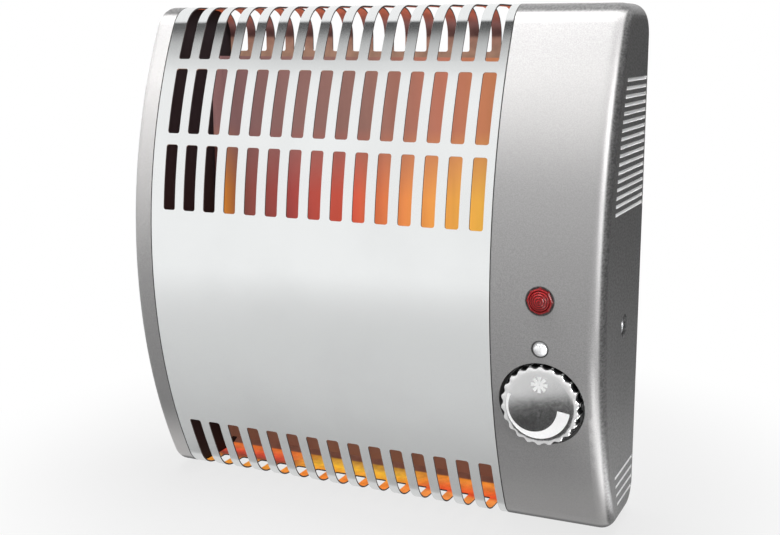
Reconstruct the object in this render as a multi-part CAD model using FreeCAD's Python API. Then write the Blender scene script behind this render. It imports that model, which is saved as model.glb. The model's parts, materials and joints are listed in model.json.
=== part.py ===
"""Wall-hung frost protection convector heater, in millimetres.

+X is to the right of someone facing the heater, +Y goes to the wall and +Z is up.
The origin is the middle of the back, on the wall plane.
"""
import FreeCAD, Part
import math
import os

Vector = FreeCAD.Vector

# Casing: widths from left to right, and the D-shaped side outline
LEFT_CAP_WIDTH = 15.0
GRILLE_WIDTH = 233.5
HOUSING_WIDTH = 66.5
HEIGHT = 316.0
DEPTH = 97.0
FRONT_RADIUS = 330.0
FRONT_BEND = 20.0
REAR_BEND = 19.0
MOULD_WALL = 2.5
CAP_EDGE = 6.0
HOUSING_EDGE = 9.0

# Grille sheet and its slots
SHEET = 1.0
EDGE_GAP = 0.4
SLOT_COUNT = 15
SLOT_PITCH = 15.0
SLOT_WIDTH = 8.5
SLOT_CORNER = 1.5
FIRST_SLOT_INSET = 14.0
SLOT_ROW_DROPS = [(128.2, 86.8), (79.7, 39.2)]
TOP_SLOT_DROP = 33.1
BOTTOM_SLOT_RISE = 40.3
WRAP_SLOT_TUCK = 28.5

# Tongues on the mouldings that the grille slides over, and the inner end walls
TONGUE_LAP = 3.5
TONGUE_ROOT = 4.0
TONGUE_WALL = 2.0
SLIP = 0.15
BULKHEAD = 1.0
BULKHEAD_GAP = 0.2
BULKHEAD_CLEAR = 0.3

# Back panel, its pressed joggle under the grille's flanges, and the wall keyholes
PANEL = 1.0
PANEL_INSET = 49.0
JOGGLE = 2.0
FLANGE_GAP = 0.5
FLANGE_LAP = 12.0
KEYHOLE_SPACING = 160.0
KEYHOLE_DROP = 24.0
KEYHOLE_ENTRY = 4.5
KEYHOLE_SLOT = 4.6
KEYHOLE_RISE = 11.0
PANEL_SCREW_SPACING = 80.0
PANEL_SCREW_COUNT = 3
PANEL_SCREW_LAP = 6.0
PANEL_SCREW_HEAD = 3.2
PANEL_SCREW_SHANK = 1.5
PANEL_SCREW_LENGTH = 8.0

# Side screws through the mouldings into the bulkheads
SIDE_SCREW_SETBACK = 52.0
SIDE_SCREW_Z = -30.0
SIDE_RECESS = 7.2
SIDE_RECESS_DEPTH = 3.0
SIDE_BOSS = 6.0
SIDE_BOSS_FLOOR = 2.5
SIDE_SCREW_SHANK = 2.0
SIDE_SCREW_HEAD = 5.6
SIDE_SCREW_HEAD_HEIGHT = 1.8
SIDE_SCREW_TIP = 3.0
SCREW_CLEAR = 0.15

# Driver crosses in the screw heads, as shares of a head's radius, and their depths
CROSS_WIDTH = 0.22
CROSS_REACH = 0.42
SIDE_CROSS_DEPTH = 1.2
PANEL_CROSS_DEPTH = 0.9

# Louvres in the housing's side
LOUVRE_MARGIN = 18.0
LOUVRE_REAR = 10.0
LOUVRE_SLOT = 2.1
UPPER_LOUVRE_COUNT = 17
UPPER_LOUVRE_DROP = 44.0
UPPER_LOUVRE_PITCH = 4.66
LOWER_LOUVRE_COUNT = 4
LOWER_LOUVRE_RISE = 34.0
LOWER_LOUVRE_PITCH = 6.5

# Heat reflector and its rivets
REFLECTOR = 0.8
REFLECTOR_STANDOFF = 15.0
REFLECTOR_DROP = 32.0
REFLECTOR_RISE = 8.0
REFLECTOR_FLANGE = 12.0
REFLECTOR_GAP = 0.2
RIVET_DROP = 148.0
RIVET_RISE = 58.0
RIVET_SHANK = 1.6
RIVET_HEAD = 3.0
RIVET_HEAD_HEIGHT = 1.0

# Heating element: a U-bent sheathed tube with plate fins
ELEMENT_TUBE = 4.0
ELEMENT_RISE = 83.0
ELEMENT_STANDOFF = 27.0
ELEMENT_LEG_PITCH = 30.0
ELEMENT_BEND_INSET = 18.0
ELEMENT_TAIL = 10.0
FIN_COUNT = 22
FIN_PITCH = 7.5
FIN = 0.6
FIN_DEPTH = 26.0
FIN_HEIGHT = 60.0
FIN_CORNER = 4.0
FIN_CLEAR = 0.08
FIN_RIGHT_INSET = 14.0
SUPPORT = 1.0
SUPPORT_FOOT = 10.0
SUPPORT_HEIGHT = 52.0
SUPPORT_LIP = 8.0
SUPPORT_TO_BEND = 5.0
BUSH_WALL = 2.9
BUSH_FLANGE = 10.0
BUSH_FLANGE_HEIGHT = 3.0
BUSH_CLEAR = 0.1
STUD = 1.5
STUD_LENGTH = 9.0
STUD_BEAD = 3.0

# Controls: knob, index stud and lamp share one line up the housing's front
CONTROL_INSET = 29.9
KNOB_Z = -70.5
LAMP_Z = -7.6
INDEX_Z = -36.1

# Knob and the round seat sunk in the housing for it
SEAT_RADIUS = 25.9
SEAT_SINK = 8.5
KNOB_CLEAR = 0.6
KNOB_SKIRT = 24.7
KNOB_SKIRT_HEIGHT = 2.9
KNOB_RADIUS = 23.8
KNOB_HEIGHT = 9.4
KNOB_WALL = 2.6
KNOB_CROWN = 2.2
KNOB_HUB = 6.5
KNOB_FACE = 2.2
KNOB_FACE_RADIUS = 23.5
KNOB_FLUTES = 22
FLUTE_DEPTH = 1.25
FLUTE_LAND = 0.28
DISH_RADIUS = 20.4
DISH_DEPTH = 1.1

# Thermostat behind the seat
SHAFT = 3.0
SHAFT_RUNNING = 0.05
SHAFT_FLAT = 0.8
SHAFT_ENTRY = 6.1
SHAFT_REAR = 7.5
SHAFT_NOSE = 1.5
SHAFT_NOSE_LENGTH = 4.0
THREAD = 5.0
THREAD_PROUD = 3.5
THREAD_CLEAR = 0.2
NUT_ACROSS = 14.0
NUT_HEIGHT = 3.0
BUSH_COLLAR = 9.0
BUSH_COLLAR_HEIGHT = 1.5
BUSH_TAIL = 2.3
STRAP = 1.2
STRAP_WIDTH = 32.0
STRAP_HEIGHT = 24.0
STRAP_DEPTH = 19.8
BASE_WIDTH = 36.0
BASE_HEIGHT = 28.0
BASE_DEPTH = 12.0
BASE_CHANNEL = 6.0
BASE_CHANNEL_DEPTH = 3.0
BLADE_WIDTH = 7.0
BLADE_REACH = 13.0
BIMETAL = 0.8
LEAF = 0.5
CONTACT = 2.0
CONTACT_HEIGHT = 3.0
CONTACT_GAP = 0.3

# Pilot lamp
LAMP_RIM = 7.9
LAMP_RIM_SIDES = 8
LAMP_RIM_HEIGHT = 1.8
LAMP_DOME = 6.4
LAMP_DOME_HEIGHT = 1.6
LAMP_SEAT_SINK = 0.6
LAMP_SEAT_CLEAR = 0.3
LAMP_STEM = 5.4
LAMP_STEM_LENGTH = 9.0
LAMP_STEM_WALL = 1.0
LAMP_FIT = 0.15
LAMP_CLIP = 8.5
LAMP_CLIP_HEIGHT = 1.2
HOLDER_FLANGE = 6.4
HOLDER_FLANGE_HEIGHT = 4.0
HOLDER_PLUG = 3.0
BULB = 2.9
BULB_LENGTH = 4.5

# Index stud
INDEX_DOME = 4.4
INDEX_DOME_HEIGHT = 2.0
INDEX_RECESS = 5.0
INDEX_RECESS_DEPTH = 0.9
INDEX_STEM = 2.0
INDEX_STEM_LENGTH = 5.0
INDEX_FIT = 0.1

# Cable gland in the housing's flat underside
GLAND_BORE = 4.0
GLAND_BODY = 7.0
GLAND_FIT = 0.15
GLAND_FLANGE = 9.0
GLAND_FLANGE_HEIGHT = 3.0
GLAND_LENGTH = 14.0
GLAND_NUT_ACROSS = 20.0
GLAND_NUT_HEIGHT = 4.0
GLAND_PAD = 1.0
GLAND_PAD_RADIUS = 12.5

# Terminal block, cut-out and earth screw on the right bulkhead
POLE_COUNT = 3
POLE_PITCH = 11.0
POLE_BARREL = 4.6
BLOCK_LIFT = 36.0
BLOCK_HEIGHT = 20.0
BLOCK_FOOT = 3.0
BLOCK_RISE = 6.5
WIRE_ENTRY = 1.8
BLOCK_SCREW = 2.2
BLOCK_SCREW_FIT = 0.1
BLOCK_SCREW_DEPTH = 5.0
CUTOUT_SETBACK = 52.0
CUTOUT_Z = 25.0
CUTOUT_CUP = 8.0
CUTOUT_CUP_HEIGHT = 7.0
CUTOUT_TOP = 6.4
CUTOUT_TOP_HEIGHT = 4.0
EAR_SPAN = 24.0
EAR_WIDTH = 10.0
EAR = 1.0
EAR_FIT = 0.15
SMALL_SCREW = 1.5
SMALL_SCREW_HEAD = 2.8
SMALL_SCREW_HEAD_HEIGHT = 1.8
SMALL_SCREW_TIP = 3.0
EARTH_SETBACK = 32.0
EARTH_Z = -8.0
TAB_WIDTH = 6.3
TAB = 0.8
TAB_LENGTH = 7.0
TAB_SPREAD = 10.0
CUTOUT_TAB_SPREAD = 3.4

# Insulated leads
LEAD = 1.1
LEAD_BEND = 4.0
LEAD_END_GAP = 0.3

# Worked-out places
WIDTH = LEFT_CAP_WIDTH + GRILLE_WIDTH + HOUSING_WIDTH
LEFT_X = -WIDTH / 2
RIGHT_X = WIDTH / 2
GRILLE_X0 = LEFT_X + LEFT_CAP_WIDTH
GRILLE_X1 = RIGHT_X - HOUSING_WIDTH
GRILLE_MIDDLE = (GRILLE_X0 + GRILLE_X1) / 2
HALF_HEIGHT = HEIGHT / 2
ARC_Y = FRONT_RADIUS - DEPTH
TOP_Z = HALF_HEIGHT
BOTTOM_Z = -HALF_HEIGHT
FRONT_BEND_Z = HALF_HEIGHT - FRONT_BEND
FRONT_BEND_Y = ARC_Y - math.sqrt((FRONT_RADIUS - FRONT_BEND) ** 2 - FRONT_BEND_Z ** 2)
UPPER_SLOT_ROWS = [(TOP_Z - low, TOP_Z - high) for low, high in SLOT_ROW_DROPS]
TOP_SLOT_FRONT = TOP_Z - TOP_SLOT_DROP
BOTTOM_SLOT_FRONT = BOTTOM_Z + BOTTOM_SLOT_RISE
WRAP_SLOT_REAR = HALF_HEIGHT - WRAP_SLOT_TUCK
PANEL_FLAT = HALF_HEIGHT - PANEL_INSET
KEYHOLE_Z = PANEL_FLAT - KEYHOLE_DROP
FLANGE_END = PANEL_FLAT + JOGGLE + FLANGE_GAP
PANEL_HALF = FLANGE_END + FLANGE_LAP
LEFT_WALL_X0 = GRILLE_X0 + TONGUE_LAP + BULKHEAD_GAP
LEFT_WALL_X1 = LEFT_WALL_X0 + BULKHEAD
RIGHT_WALL_X1 = GRILLE_X1 - TONGUE_LAP - BULKHEAD_GAP
RIGHT_WALL_X0 = RIGHT_WALL_X1 - BULKHEAD
REFLECTOR_Y = -REFLECTOR_STANDOFF
REFLECTOR_TOP = TOP_Z - REFLECTOR_DROP
REFLECTOR_BOTTOM = BOTTOM_Z + REFLECTOR_RISE
RIVET_ZS = [TOP_Z - RIVET_DROP, BOTTOM_Z + RIVET_RISE]
ELEMENT_Z = BOTTOM_Z + ELEMENT_RISE
ELEMENT_Y = REFLECTOR_Y - ELEMENT_STANDOFF
LEG_ZS = [ELEMENT_Z + ELEMENT_LEG_PITCH / 2, ELEMENT_Z - ELEMENT_LEG_PITCH / 2]
BEND_X = LEFT_WALL_X1 + ELEMENT_BEND_INSET + ELEMENT_LEG_PITCH / 2
SUPPORT_X = BEND_X + SUPPORT_TO_BEND
TUBE_END_X = RIGHT_WALL_X1 + ELEMENT_TAIL
CONTROL_X = GRILLE_X1 + CONTROL_INSET
SIDE_FACE_X = RIGHT_X - MOULD_WALL
SIDE_SCREW_Y = SIDE_SCREW_SETBACK - DEPTH
CUTOUT_Y = CUTOUT_SETBACK - DEPTH
EARTH_Y = EARTH_SETBACK - DEPTH
UPPER_LOUVRE_TOP = TOP_Z - UPPER_LOUVRE_DROP
LOWER_LOUVRE_TOP = BOTTOM_Z + LOWER_LOUVRE_RISE
GLAND_Y = (FRONT_BEND_Y - REAR_BEND) / 2
BLOCK_Y = FRONT_BEND_Y
BLOCK_Z = BOTTOM_Z + BLOCK_LIFT


def front_y(z):
    """The casing's front surface at a height."""
    return ARC_Y - math.sqrt(FRONT_RADIUS ** 2 - z ** 2)


def inner_front_y(z):
    """The inside of the mouldings' front wall at a height."""
    return ARC_Y - math.sqrt((FRONT_RADIUS - MOULD_WALL) ** 2 - z ** 2)


SEAT_Y = front_y(KNOB_Z) + SEAT_SINK
SEAT_INNER_Y = SEAT_Y + MOULD_WALL
KNOB_BASE_Y = SEAT_Y - KNOB_CLEAR
KNOB_TOP_Y = KNOB_BASE_Y - KNOB_HEIGHT
COLLAR_Y = SEAT_INNER_Y + THREAD_CLEAR
STRAP_Y = COLLAR_Y + BUSH_COLLAR_HEIGHT
BASE_Y = STRAP_Y + STRAP_DEPTH
BASE_REAR_Y = BASE_Y + BASE_DEPTH
SHAFT_END_Y = STRAP_Y + SHAFT_REAR
BIMETAL_Y = SHAFT_END_Y + SHAFT_NOSE_LENGTH + CONTACT_GAP
LEAF_Y = BIMETAL_Y + BIMETAL + CONTACT_GAP + CONTACT_HEIGHT
LAMP_SEAT_Y = front_y(LAMP_Z) + LAMP_SEAT_SINK
LAMP_STEM_Y = LAMP_SEAT_Y + LAMP_STEM_LENGTH
LAMP_WALL_Y = inner_front_y(abs(LAMP_Z) + LAMP_CLIP)
INDEX_SEAT_Y = front_y(INDEX_Z) + INDEX_RECESS_DEPTH


def box(x0, x1, y0, y1, z0, z1):
    return Part.makeBox(x1 - x0, y1 - y0, z1 - z0, Vector(x0, y0, z0))


def rod_x(radius, x0, x1, y, z):
    return Part.makeCylinder(radius, x1 - x0, Vector(x0, y, z), Vector(1, 0, 0))


def rod_y(radius, y0, y1, x, z):
    return Part.makeCylinder(radius, y1 - y0, Vector(x, y0, z), Vector(0, 1, 0))


def rod_z(radius, z0, z1, x, y):
    return Part.makeCylinder(radius, z1 - z0, Vector(x, y, z0), Vector(0, 0, 1))


def plate(points, push):
    """A straight extrusion of a polygon."""
    return Part.Face(Part.makePolygon(points + points[:1])).extrude(push)


def turned_y(profile, x, z):
    """A solid of revolution about a line along Y, from (radius, y) points."""
    points = [Vector(x + radius, y, z) for radius, y in profile]
    face = Part.Face(Part.makePolygon(points + points[:1]))
    return face.revolve(Vector(x, 0, z), Vector(0, 1, 0), 360)


def prism(sides, reach, start, push):
    """A regular polygon with its corners at a reach from start, pushed along a row axis."""
    along = Vector(push).normalize()
    side = Vector(1, 0, 0)
    other = along.cross(side)
    points = []
    for corner in range(sides):
        turn = 2 * math.pi * corner / sides
        points.append(start + side * (reach * math.cos(turn)) + other * (reach * math.sin(turn)))
    return plate(points, push)


def hexagon(across, start, push):
    """A nut blank, measured across its flats."""
    return prism(6, across / math.sqrt(3), start, push)


def driver_cross(face, push, side, head):
    """The cross recess of a screw head, pushed in from the middle of the head's face."""
    near, far = head * CROSS_WIDTH / 2, head * CROSS_REACH
    quarter = [(near, far), (near, near), (far, near)]
    outline = list(quarter)
    for turn in range(3):
        quarter = [(down, -across) for across, down in quarter]
        outline += quarter
    up = Vector(0, 0, 1)
    return plate([face + side * across + up * rise for across, rise in outline], push)


def arc(start, middle, end):
    return Part.Arc(start, middle, end).toShape()


def line(start, end):
    return Part.makeLine(start, end)


def side_outline(inset, x):
    """The casing's D-shaped side outline, drawn in by an inset, at one x."""
    front_z = FRONT_BEND_Z
    front_c = FRONT_BEND_Y
    rear_c = -REAR_BEND
    rear_z = HALF_HEIGHT - REAR_BEND
    radius = FRONT_RADIUS - inset
    bend = FRONT_BEND - inset
    rear = REAR_BEND - inset
    top = HALF_HEIGHT - inset
    lean = math.atan2(front_z, ARC_Y - front_c)
    half_turn = (lean + math.pi / 2) / 2
    slant = rear * math.sqrt(0.5)

    def at(y, z):
        return Vector(x, y, z)

    join_y = ARC_Y - radius * math.cos(lean)
    join_z = radius * math.sin(lean)
    mid_y = front_c - bend * math.cos(half_turn)
    mid_z = front_z + bend * math.sin(half_turn)
    edges = [
        arc(at(join_y, -join_z), at(ARC_Y - radius, 0), at(join_y, join_z)),
        arc(at(join_y, join_z), at(mid_y, mid_z), at(front_c, top)),
        line(at(front_c, top), at(rear_c, top)),
        arc(at(rear_c, top), at(rear_c + slant, rear_z + slant), at(-inset, rear_z)),
        line(at(-inset, rear_z), at(-inset, -rear_z)),
        arc(at(-inset, -rear_z), at(rear_c + slant, -rear_z - slant), at(rear_c, -top)),
        line(at(rear_c, -top), at(front_c, -top)),
        arc(at(front_c, -top), at(mid_y, -mid_z), at(join_y, -join_z)),
    ]
    return Part.Wire(edges)


def casing_block(inset, x0, x1):
    return Part.Face(side_outline(inset, x0)).extrude(Vector(x1 - x0, 0, 0))


def edges_at_x(shape, x):
    return [e for e in shape.Edges if all(abs(v.Point.x - x) < 1e-6 for v in e.Vertexes)]


def rounded_end(block, x, radius):
    return block.makeFillet(radius, edges_at_x(block, x))


def rounded_window(x, width, z0, z1, corner, y0, y1):
    """A rounded rectangle in the XZ plane, pushed along Y."""
    left, right = x - width / 2, x + width / 2
    tuck = corner * (1 - math.sqrt(0.5))

    def at(px, pz):
        return Vector(px, y0, pz)

    edges = [
        line(at(left + corner, z0), at(right - corner, z0)),
        arc(at(right - corner, z0), at(right - tuck, z0 + tuck), at(right, z0 + corner)),
        line(at(right, z0 + corner), at(right, z1 - corner)),
        arc(at(right, z1 - corner), at(right - tuck, z1 - tuck), at(right - corner, z1)),
        line(at(right - corner, z1), at(left + corner, z1)),
        arc(at(left + corner, z1), at(left + tuck, z1 - tuck), at(left, z1 - corner)),
        line(at(left, z1 - corner), at(left, z0 + corner)),
        arc(at(left, z0 + corner), at(left + tuck, z0 + tuck), at(left + corner, z0)),
    ]
    return Part.Face(Part.Wire(edges)).extrude(Vector(0, y1 - y0, 0))


def slot_cutters(x):
    """All the slots of one column: two in the front, and one over each of the top and bottom."""
    ahead = -DEPTH - SHEET
    behind = SHEET
    beyond = HALF_HEIGHT + FRONT_BEND
    split = -(REAR_BEND + DEPTH / 2) / 2
    cutters = []
    for low, high in UPPER_SLOT_ROWS:
        cutters.append(rounded_window(x, SLOT_WIDTH, low, high, SLOT_CORNER, ahead, -DEPTH / 2))
    for front, sign in [(TOP_SLOT_FRONT, 1), (BOTTOM_SLOT_FRONT, -1)]:
        near = sorted([front, sign * beyond])
        far = sorted([sign * WRAP_SLOT_REAR, sign * beyond])
        cutters.append(rounded_window(x, SLOT_WIDTH, near[0], near[1], SLOT_CORNER, ahead, split))
        cutters.append(rounded_window(x, SLOT_WIDTH, far[0], far[1], SLOT_CORNER, split, behind))
    return cutters


def panel_screw_places():
    first = GRILLE_MIDDLE - PANEL_SCREW_SPACING * (PANEL_SCREW_COUNT - 1) / 2
    height = FLANGE_END + PANEL_SCREW_LAP
    places = []
    for z in (height, -height):
        for index in range(PANEL_SCREW_COUNT):
            places.append((first + index * PANEL_SCREW_SPACING, z))
    return places


def panel_screw(x, z, clear):
    """A flush countersunk screw, or with a clearance the hole that takes it."""
    head = PANEL_SCREW_HEAD + clear
    shank = PANEL_SCREW_SHANK + clear
    profile = [
        (0, 0),
        (head, 0),
        (shank, -SHEET),
        (shank, -PANEL_SCREW_LENGTH),
        (0, -PANEL_SCREW_LENGTH),
    ]
    return turned_y(profile, x, z)


def make_front_grille():
    x0 = GRILLE_X0 + EDGE_GAP
    x1 = GRILLE_X1 - EDGE_GAP
    sleeve = casing_block(0, x0, x1).cut(casing_block(SHEET, x0, x1))
    rear_opening = box(x0, x1, -2 * SHEET, SHEET, -FLANGE_END, FLANGE_END)
    cutters = [rear_opening]
    for index in range(SLOT_COUNT):
        cutters += slot_cutters(GRILLE_X0 + FIRST_SLOT_INSET + index * SLOT_PITCH)
    cutters += [panel_screw(x, z, SCREW_CLEAR) for x, z in panel_screw_places()]
    return sleeve.cut(cutters)


def keyhole(x):
    entry = rod_y(KEYHOLE_ENTRY, -2 * PANEL, PANEL, x, KEYHOLE_Z)
    half = KEYHOLE_SLOT / 2
    neck = box(x - half, x + half, -2 * PANEL, PANEL, KEYHOLE_Z, KEYHOLE_Z + KEYHOLE_RISE)
    top = rod_y(half, -2 * PANEL, PANEL, x, KEYHOLE_Z + KEYHOLE_RISE)
    return entry.fuse([neck, top])


def make_back_panel():
    wide = box(GRILLE_X0 + EDGE_GAP, GRILLE_X1 - EDGE_GAP, -PANEL, 0, -PANEL_FLAT, PANEL_FLAT)
    x0 = LEFT_WALL_X1 + REFLECTOR_GAP
    x1 = RIGHT_WALL_X0 - REFLECTOR_GAP
    panel = wide
    for sign in (1, -1):
        outline = [
            (0, PANEL_FLAT - JOGGLE),
            (0, PANEL_FLAT),
            (-SHEET, PANEL_FLAT + JOGGLE),
            (-SHEET, PANEL_HALF),
            (-SHEET - PANEL, PANEL_HALF),
            (-SHEET - PANEL, PANEL_FLAT + JOGGLE),
            (-PANEL, PANEL_FLAT),
            (-PANEL, PANEL_FLAT - JOGGLE),
        ]
        strip = plate([Vector(x0, y, sign * z) for y, z in outline], Vector(x1 - x0, 0, 0))
        panel = panel.fuse(strip)
    cutters = [keyhole(GRILLE_MIDDLE + sign * KEYHOLE_SPACING / 2) for sign in (1, -1)]
    cutters += [panel_screw(x, z, SCREW_CLEAR) for x, z in panel_screw_places()]
    return panel.removeSplitter().cut(cutters)


def make_panel_screws():
    screws = []
    for x, z in panel_screw_places():
        cross = driver_cross(Vector(x, 0, z), Vector(0, -PANEL_CROSS_DEPTH, 0), Vector(1, 0, 0), PANEL_SCREW_HEAD)
        screws.append(panel_screw(x, z, 0).cut(cross))
    return Part.makeCompound(screws)


def tongue(x0, x1):
    """The rim that the grille's end slides over."""
    outer = casing_block(SHEET + SLIP, x0, x1)
    return outer.cut(casing_block(SHEET + SLIP + TONGUE_WALL, x0, x1))


def side_boss(outer_x, wall_x, sign):
    """A screw boss from a moulding's side wall to the bulkhead, with a thicker root."""
    root_x = outer_x - sign * (SIDE_RECESS_DEPTH + SIDE_BOSS_FLOOR)
    root_r = SIDE_RECESS + MOULD_WALL
    skin_x = outer_x - sign * MOULD_WALL / 2
    stem = rod_x(SIDE_BOSS, min(wall_x, skin_x), max(wall_x, skin_x), SIDE_SCREW_Y, SIDE_SCREW_Z)
    root = rod_x(root_r, min(root_x, skin_x), max(root_x, skin_x), SIDE_SCREW_Y, SIDE_SCREW_Z)
    return stem.fuse(root)


def side_hole(outer_x, wall_x, sign):
    """The recess and the screw hole through a side boss."""
    floor_x = outer_x - sign * SIDE_RECESS_DEPTH
    recess = rod_x(SIDE_RECESS, min(floor_x, outer_x), max(floor_x, outer_x), SIDE_SCREW_Y, SIDE_SCREW_Z)
    radius = SIDE_SCREW_SHANK + SCREW_CLEAR
    hole = rod_x(radius, min(wall_x, outer_x), max(wall_x, outer_x), SIDE_SCREW_Y, SIDE_SCREW_Z)
    return recess.fuse(hole)


def side_screw(outer_x, wall_x, sign):
    """A pan-head screw seated in the recess, with its tip through the bulkhead."""
    floor_x = outer_x - sign * SIDE_RECESS_DEPTH
    head_x = floor_x + sign * SIDE_SCREW_HEAD_HEIGHT
    tip_x = wall_x - sign * (BULKHEAD_GAP + BULKHEAD + SIDE_SCREW_TIP)
    head = rod_x(SIDE_SCREW_HEAD, min(floor_x, head_x), max(floor_x, head_x), SIDE_SCREW_Y, SIDE_SCREW_Z)
    shank = rod_x(SIDE_SCREW_SHANK, min(tip_x, floor_x), max(tip_x, floor_x), SIDE_SCREW_Y, SIDE_SCREW_Z)
    inward = Vector(-sign * SIDE_CROSS_DEPTH, 0, 0)
    cross = driver_cross(Vector(head_x, SIDE_SCREW_Y, SIDE_SCREW_Z), inward, Vector(0, 1, 0), SIDE_SCREW_HEAD)
    return head.fuse(shank).removeSplitter().cut(cross)


def make_side_screws():
    left = side_screw(LEFT_X, LEFT_WALL_X0 - BULKHEAD_GAP, -1)
    right = side_screw(RIGHT_X, RIGHT_WALL_X1 + BULKHEAD_GAP, 1)
    return Part.makeCompound([left, right])


def make_left_end_cap():
    shell = rounded_end(casing_block(0, LEFT_X, GRILLE_X0), LEFT_X, CAP_EDGE)
    inner_x = LEFT_X + MOULD_WALL
    hollow = casing_block(MOULD_WALL, inner_x, GRILLE_X0)
    hollow = rounded_end(hollow, inner_x, CAP_EDGE - MOULD_WALL)
    wall_x = LEFT_WALL_X0 - BULKHEAD_GAP
    shell = shell.cut(hollow)
    shell = shell.fuse([tongue(GRILLE_X0 - TONGUE_ROOT, wall_x), side_boss(LEFT_X, wall_x, -1)])
    return shell.cut(side_hole(LEFT_X, wall_x, -1)).removeSplitter()


def louvre(z):
    """One side vent, sloping up as it goes in, with its front end following the casing's outline."""
    outer_x = RIGHT_X + 1
    inner_x = SIDE_FACE_X - 1
    rise = outer_x - inner_x
    low = z - (outer_x - RIGHT_X)
    front = front_y(z) + LOUVRE_MARGIN
    points = [
        Vector(outer_x, front, low),
        Vector(outer_x, front, low + LOUVRE_SLOT),
        Vector(inner_x, front, low + LOUVRE_SLOT + rise),
        Vector(inner_x, front, low + rise),
    ]
    return plate(points, Vector(0, -LOUVRE_REAR - front, 0))


def louvres():
    upper = [louvre(UPPER_LOUVRE_TOP - UPPER_LOUVRE_PITCH * i) for i in range(UPPER_LOUVRE_COUNT)]
    lower = [louvre(LOWER_LOUVRE_TOP - LOWER_LOUVRE_PITCH * i) for i in range(LOWER_LOUVRE_COUNT)]
    return upper + lower


def make_control_housing():
    block = rounded_end(casing_block(0, GRILLE_X1, RIGHT_X), RIGHT_X, HOUSING_EDGE)
    hollow = casing_block(MOULD_WALL, GRILLE_X1, SIDE_FACE_X)
    hollow = rounded_end(hollow, SIDE_FACE_X, HOUSING_EDGE - MOULD_WALL)
    ahead = -DEPTH - MOULD_WALL
    seat_wall = rod_y(SEAT_RADIUS + MOULD_WALL, ahead, SEAT_INNER_Y, CONTROL_X, KNOB_Z)
    wall_x = RIGHT_WALL_X1 + BULKHEAD_GAP
    pad_z = BOTTOM_Z + MOULD_WALL + GLAND_PAD
    gland_pad = rod_z(GLAND_PAD_RADIUS, BOTTOM_Z + MOULD_WALL / 2, pad_z, CONTROL_X, GLAND_Y)
    shell = block.cut(hollow.cut(seat_wall))
    shell = shell.fuse([tongue(wall_x, GRILLE_X1 + TONGUE_ROOT), side_boss(RIGHT_X, wall_x, 1), gland_pad])
    gland_hole = rod_z(GLAND_BODY + GLAND_FIT, BOTTOM_Z - 1, pad_z + 1, CONTROL_X, GLAND_Y)
    lamp_hole = LAMP_STEM + LAMP_FIT
    lamp_rear = LAMP_WALL_Y + MOULD_WALL
    index_hole = INDEX_STEM + INDEX_FIT
    index_rear = INDEX_SEAT_Y + 2 * MOULD_WALL
    cutters = [
        rod_y(SEAT_RADIUS, ahead, SEAT_Y, CONTROL_X, KNOB_Z),
        rod_y(THREAD + THREAD_CLEAR, SEAT_Y - 1, SEAT_INNER_Y + 1, CONTROL_X, KNOB_Z),
        rod_y(LAMP_RIM + LAMP_SEAT_CLEAR, ahead, LAMP_SEAT_Y, CONTROL_X, LAMP_Z),
        rod_y(lamp_hole, LAMP_SEAT_Y - 1, lamp_rear, CONTROL_X, LAMP_Z),
        rod_y(INDEX_RECESS, ahead, INDEX_SEAT_Y, CONTROL_X, INDEX_Z),
        rod_y(index_hole, INDEX_SEAT_Y - 1, index_rear, CONTROL_X, INDEX_Z),
        side_hole(RIGHT_X, wall_x, 1),
        gland_hole,
    ]
    return shell.cut(cutters + louvres()).removeSplitter()


def rivet_places():
    y = REFLECTOR_Y - REFLECTOR_FLANGE / 2
    return [(y, z) for z in RIVET_ZS]


def make_left_bulkhead():
    wall = casing_block(SHEET + BULKHEAD_CLEAR, LEFT_WALL_X0, LEFT_WALL_X1)
    holes = [rod_x(SIDE_SCREW_SHANK + SCREW_CLEAR, LEFT_WALL_X0, LEFT_WALL_X1, SIDE_SCREW_Y, SIDE_SCREW_Z)]
    for y, z in rivet_places():
        holes.append(rod_x(RIVET_SHANK + SCREW_CLEAR, LEFT_WALL_X0, LEFT_WALL_X1, y, z))
    return wall.cut(holes)


def cutout_screw_places():
    return [(CUTOUT_Y, CUTOUT_Z + EAR_SPAN / 2), (CUTOUT_Y, CUTOUT_Z - EAR_SPAN / 2)]


def make_right_bulkhead():
    x0, x1 = RIGHT_WALL_X0, RIGHT_WALL_X1
    wall = casing_block(SHEET + BULKHEAD_CLEAR, x0, x1)
    holes = [rod_x(SIDE_SCREW_SHANK + SCREW_CLEAR, x0, x1, SIDE_SCREW_Y, SIDE_SCREW_Z)]
    for y, z in rivet_places():
        holes.append(rod_x(RIVET_SHANK + SCREW_CLEAR, x0, x1, y, z))
    for z in LEG_ZS:
        holes.append(rod_x(ELEMENT_TUBE + BUSH_WALL + BUSH_CLEAR, x0, x1, ELEMENT_Y, z))
    for y, z in cutout_screw_places() + [(EARTH_Y, EARTH_Z)]:
        holes.append(rod_x(SMALL_SCREW + SCREW_CLEAR, x0, x1, y, z))
    return wall.cut(holes)


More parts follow.
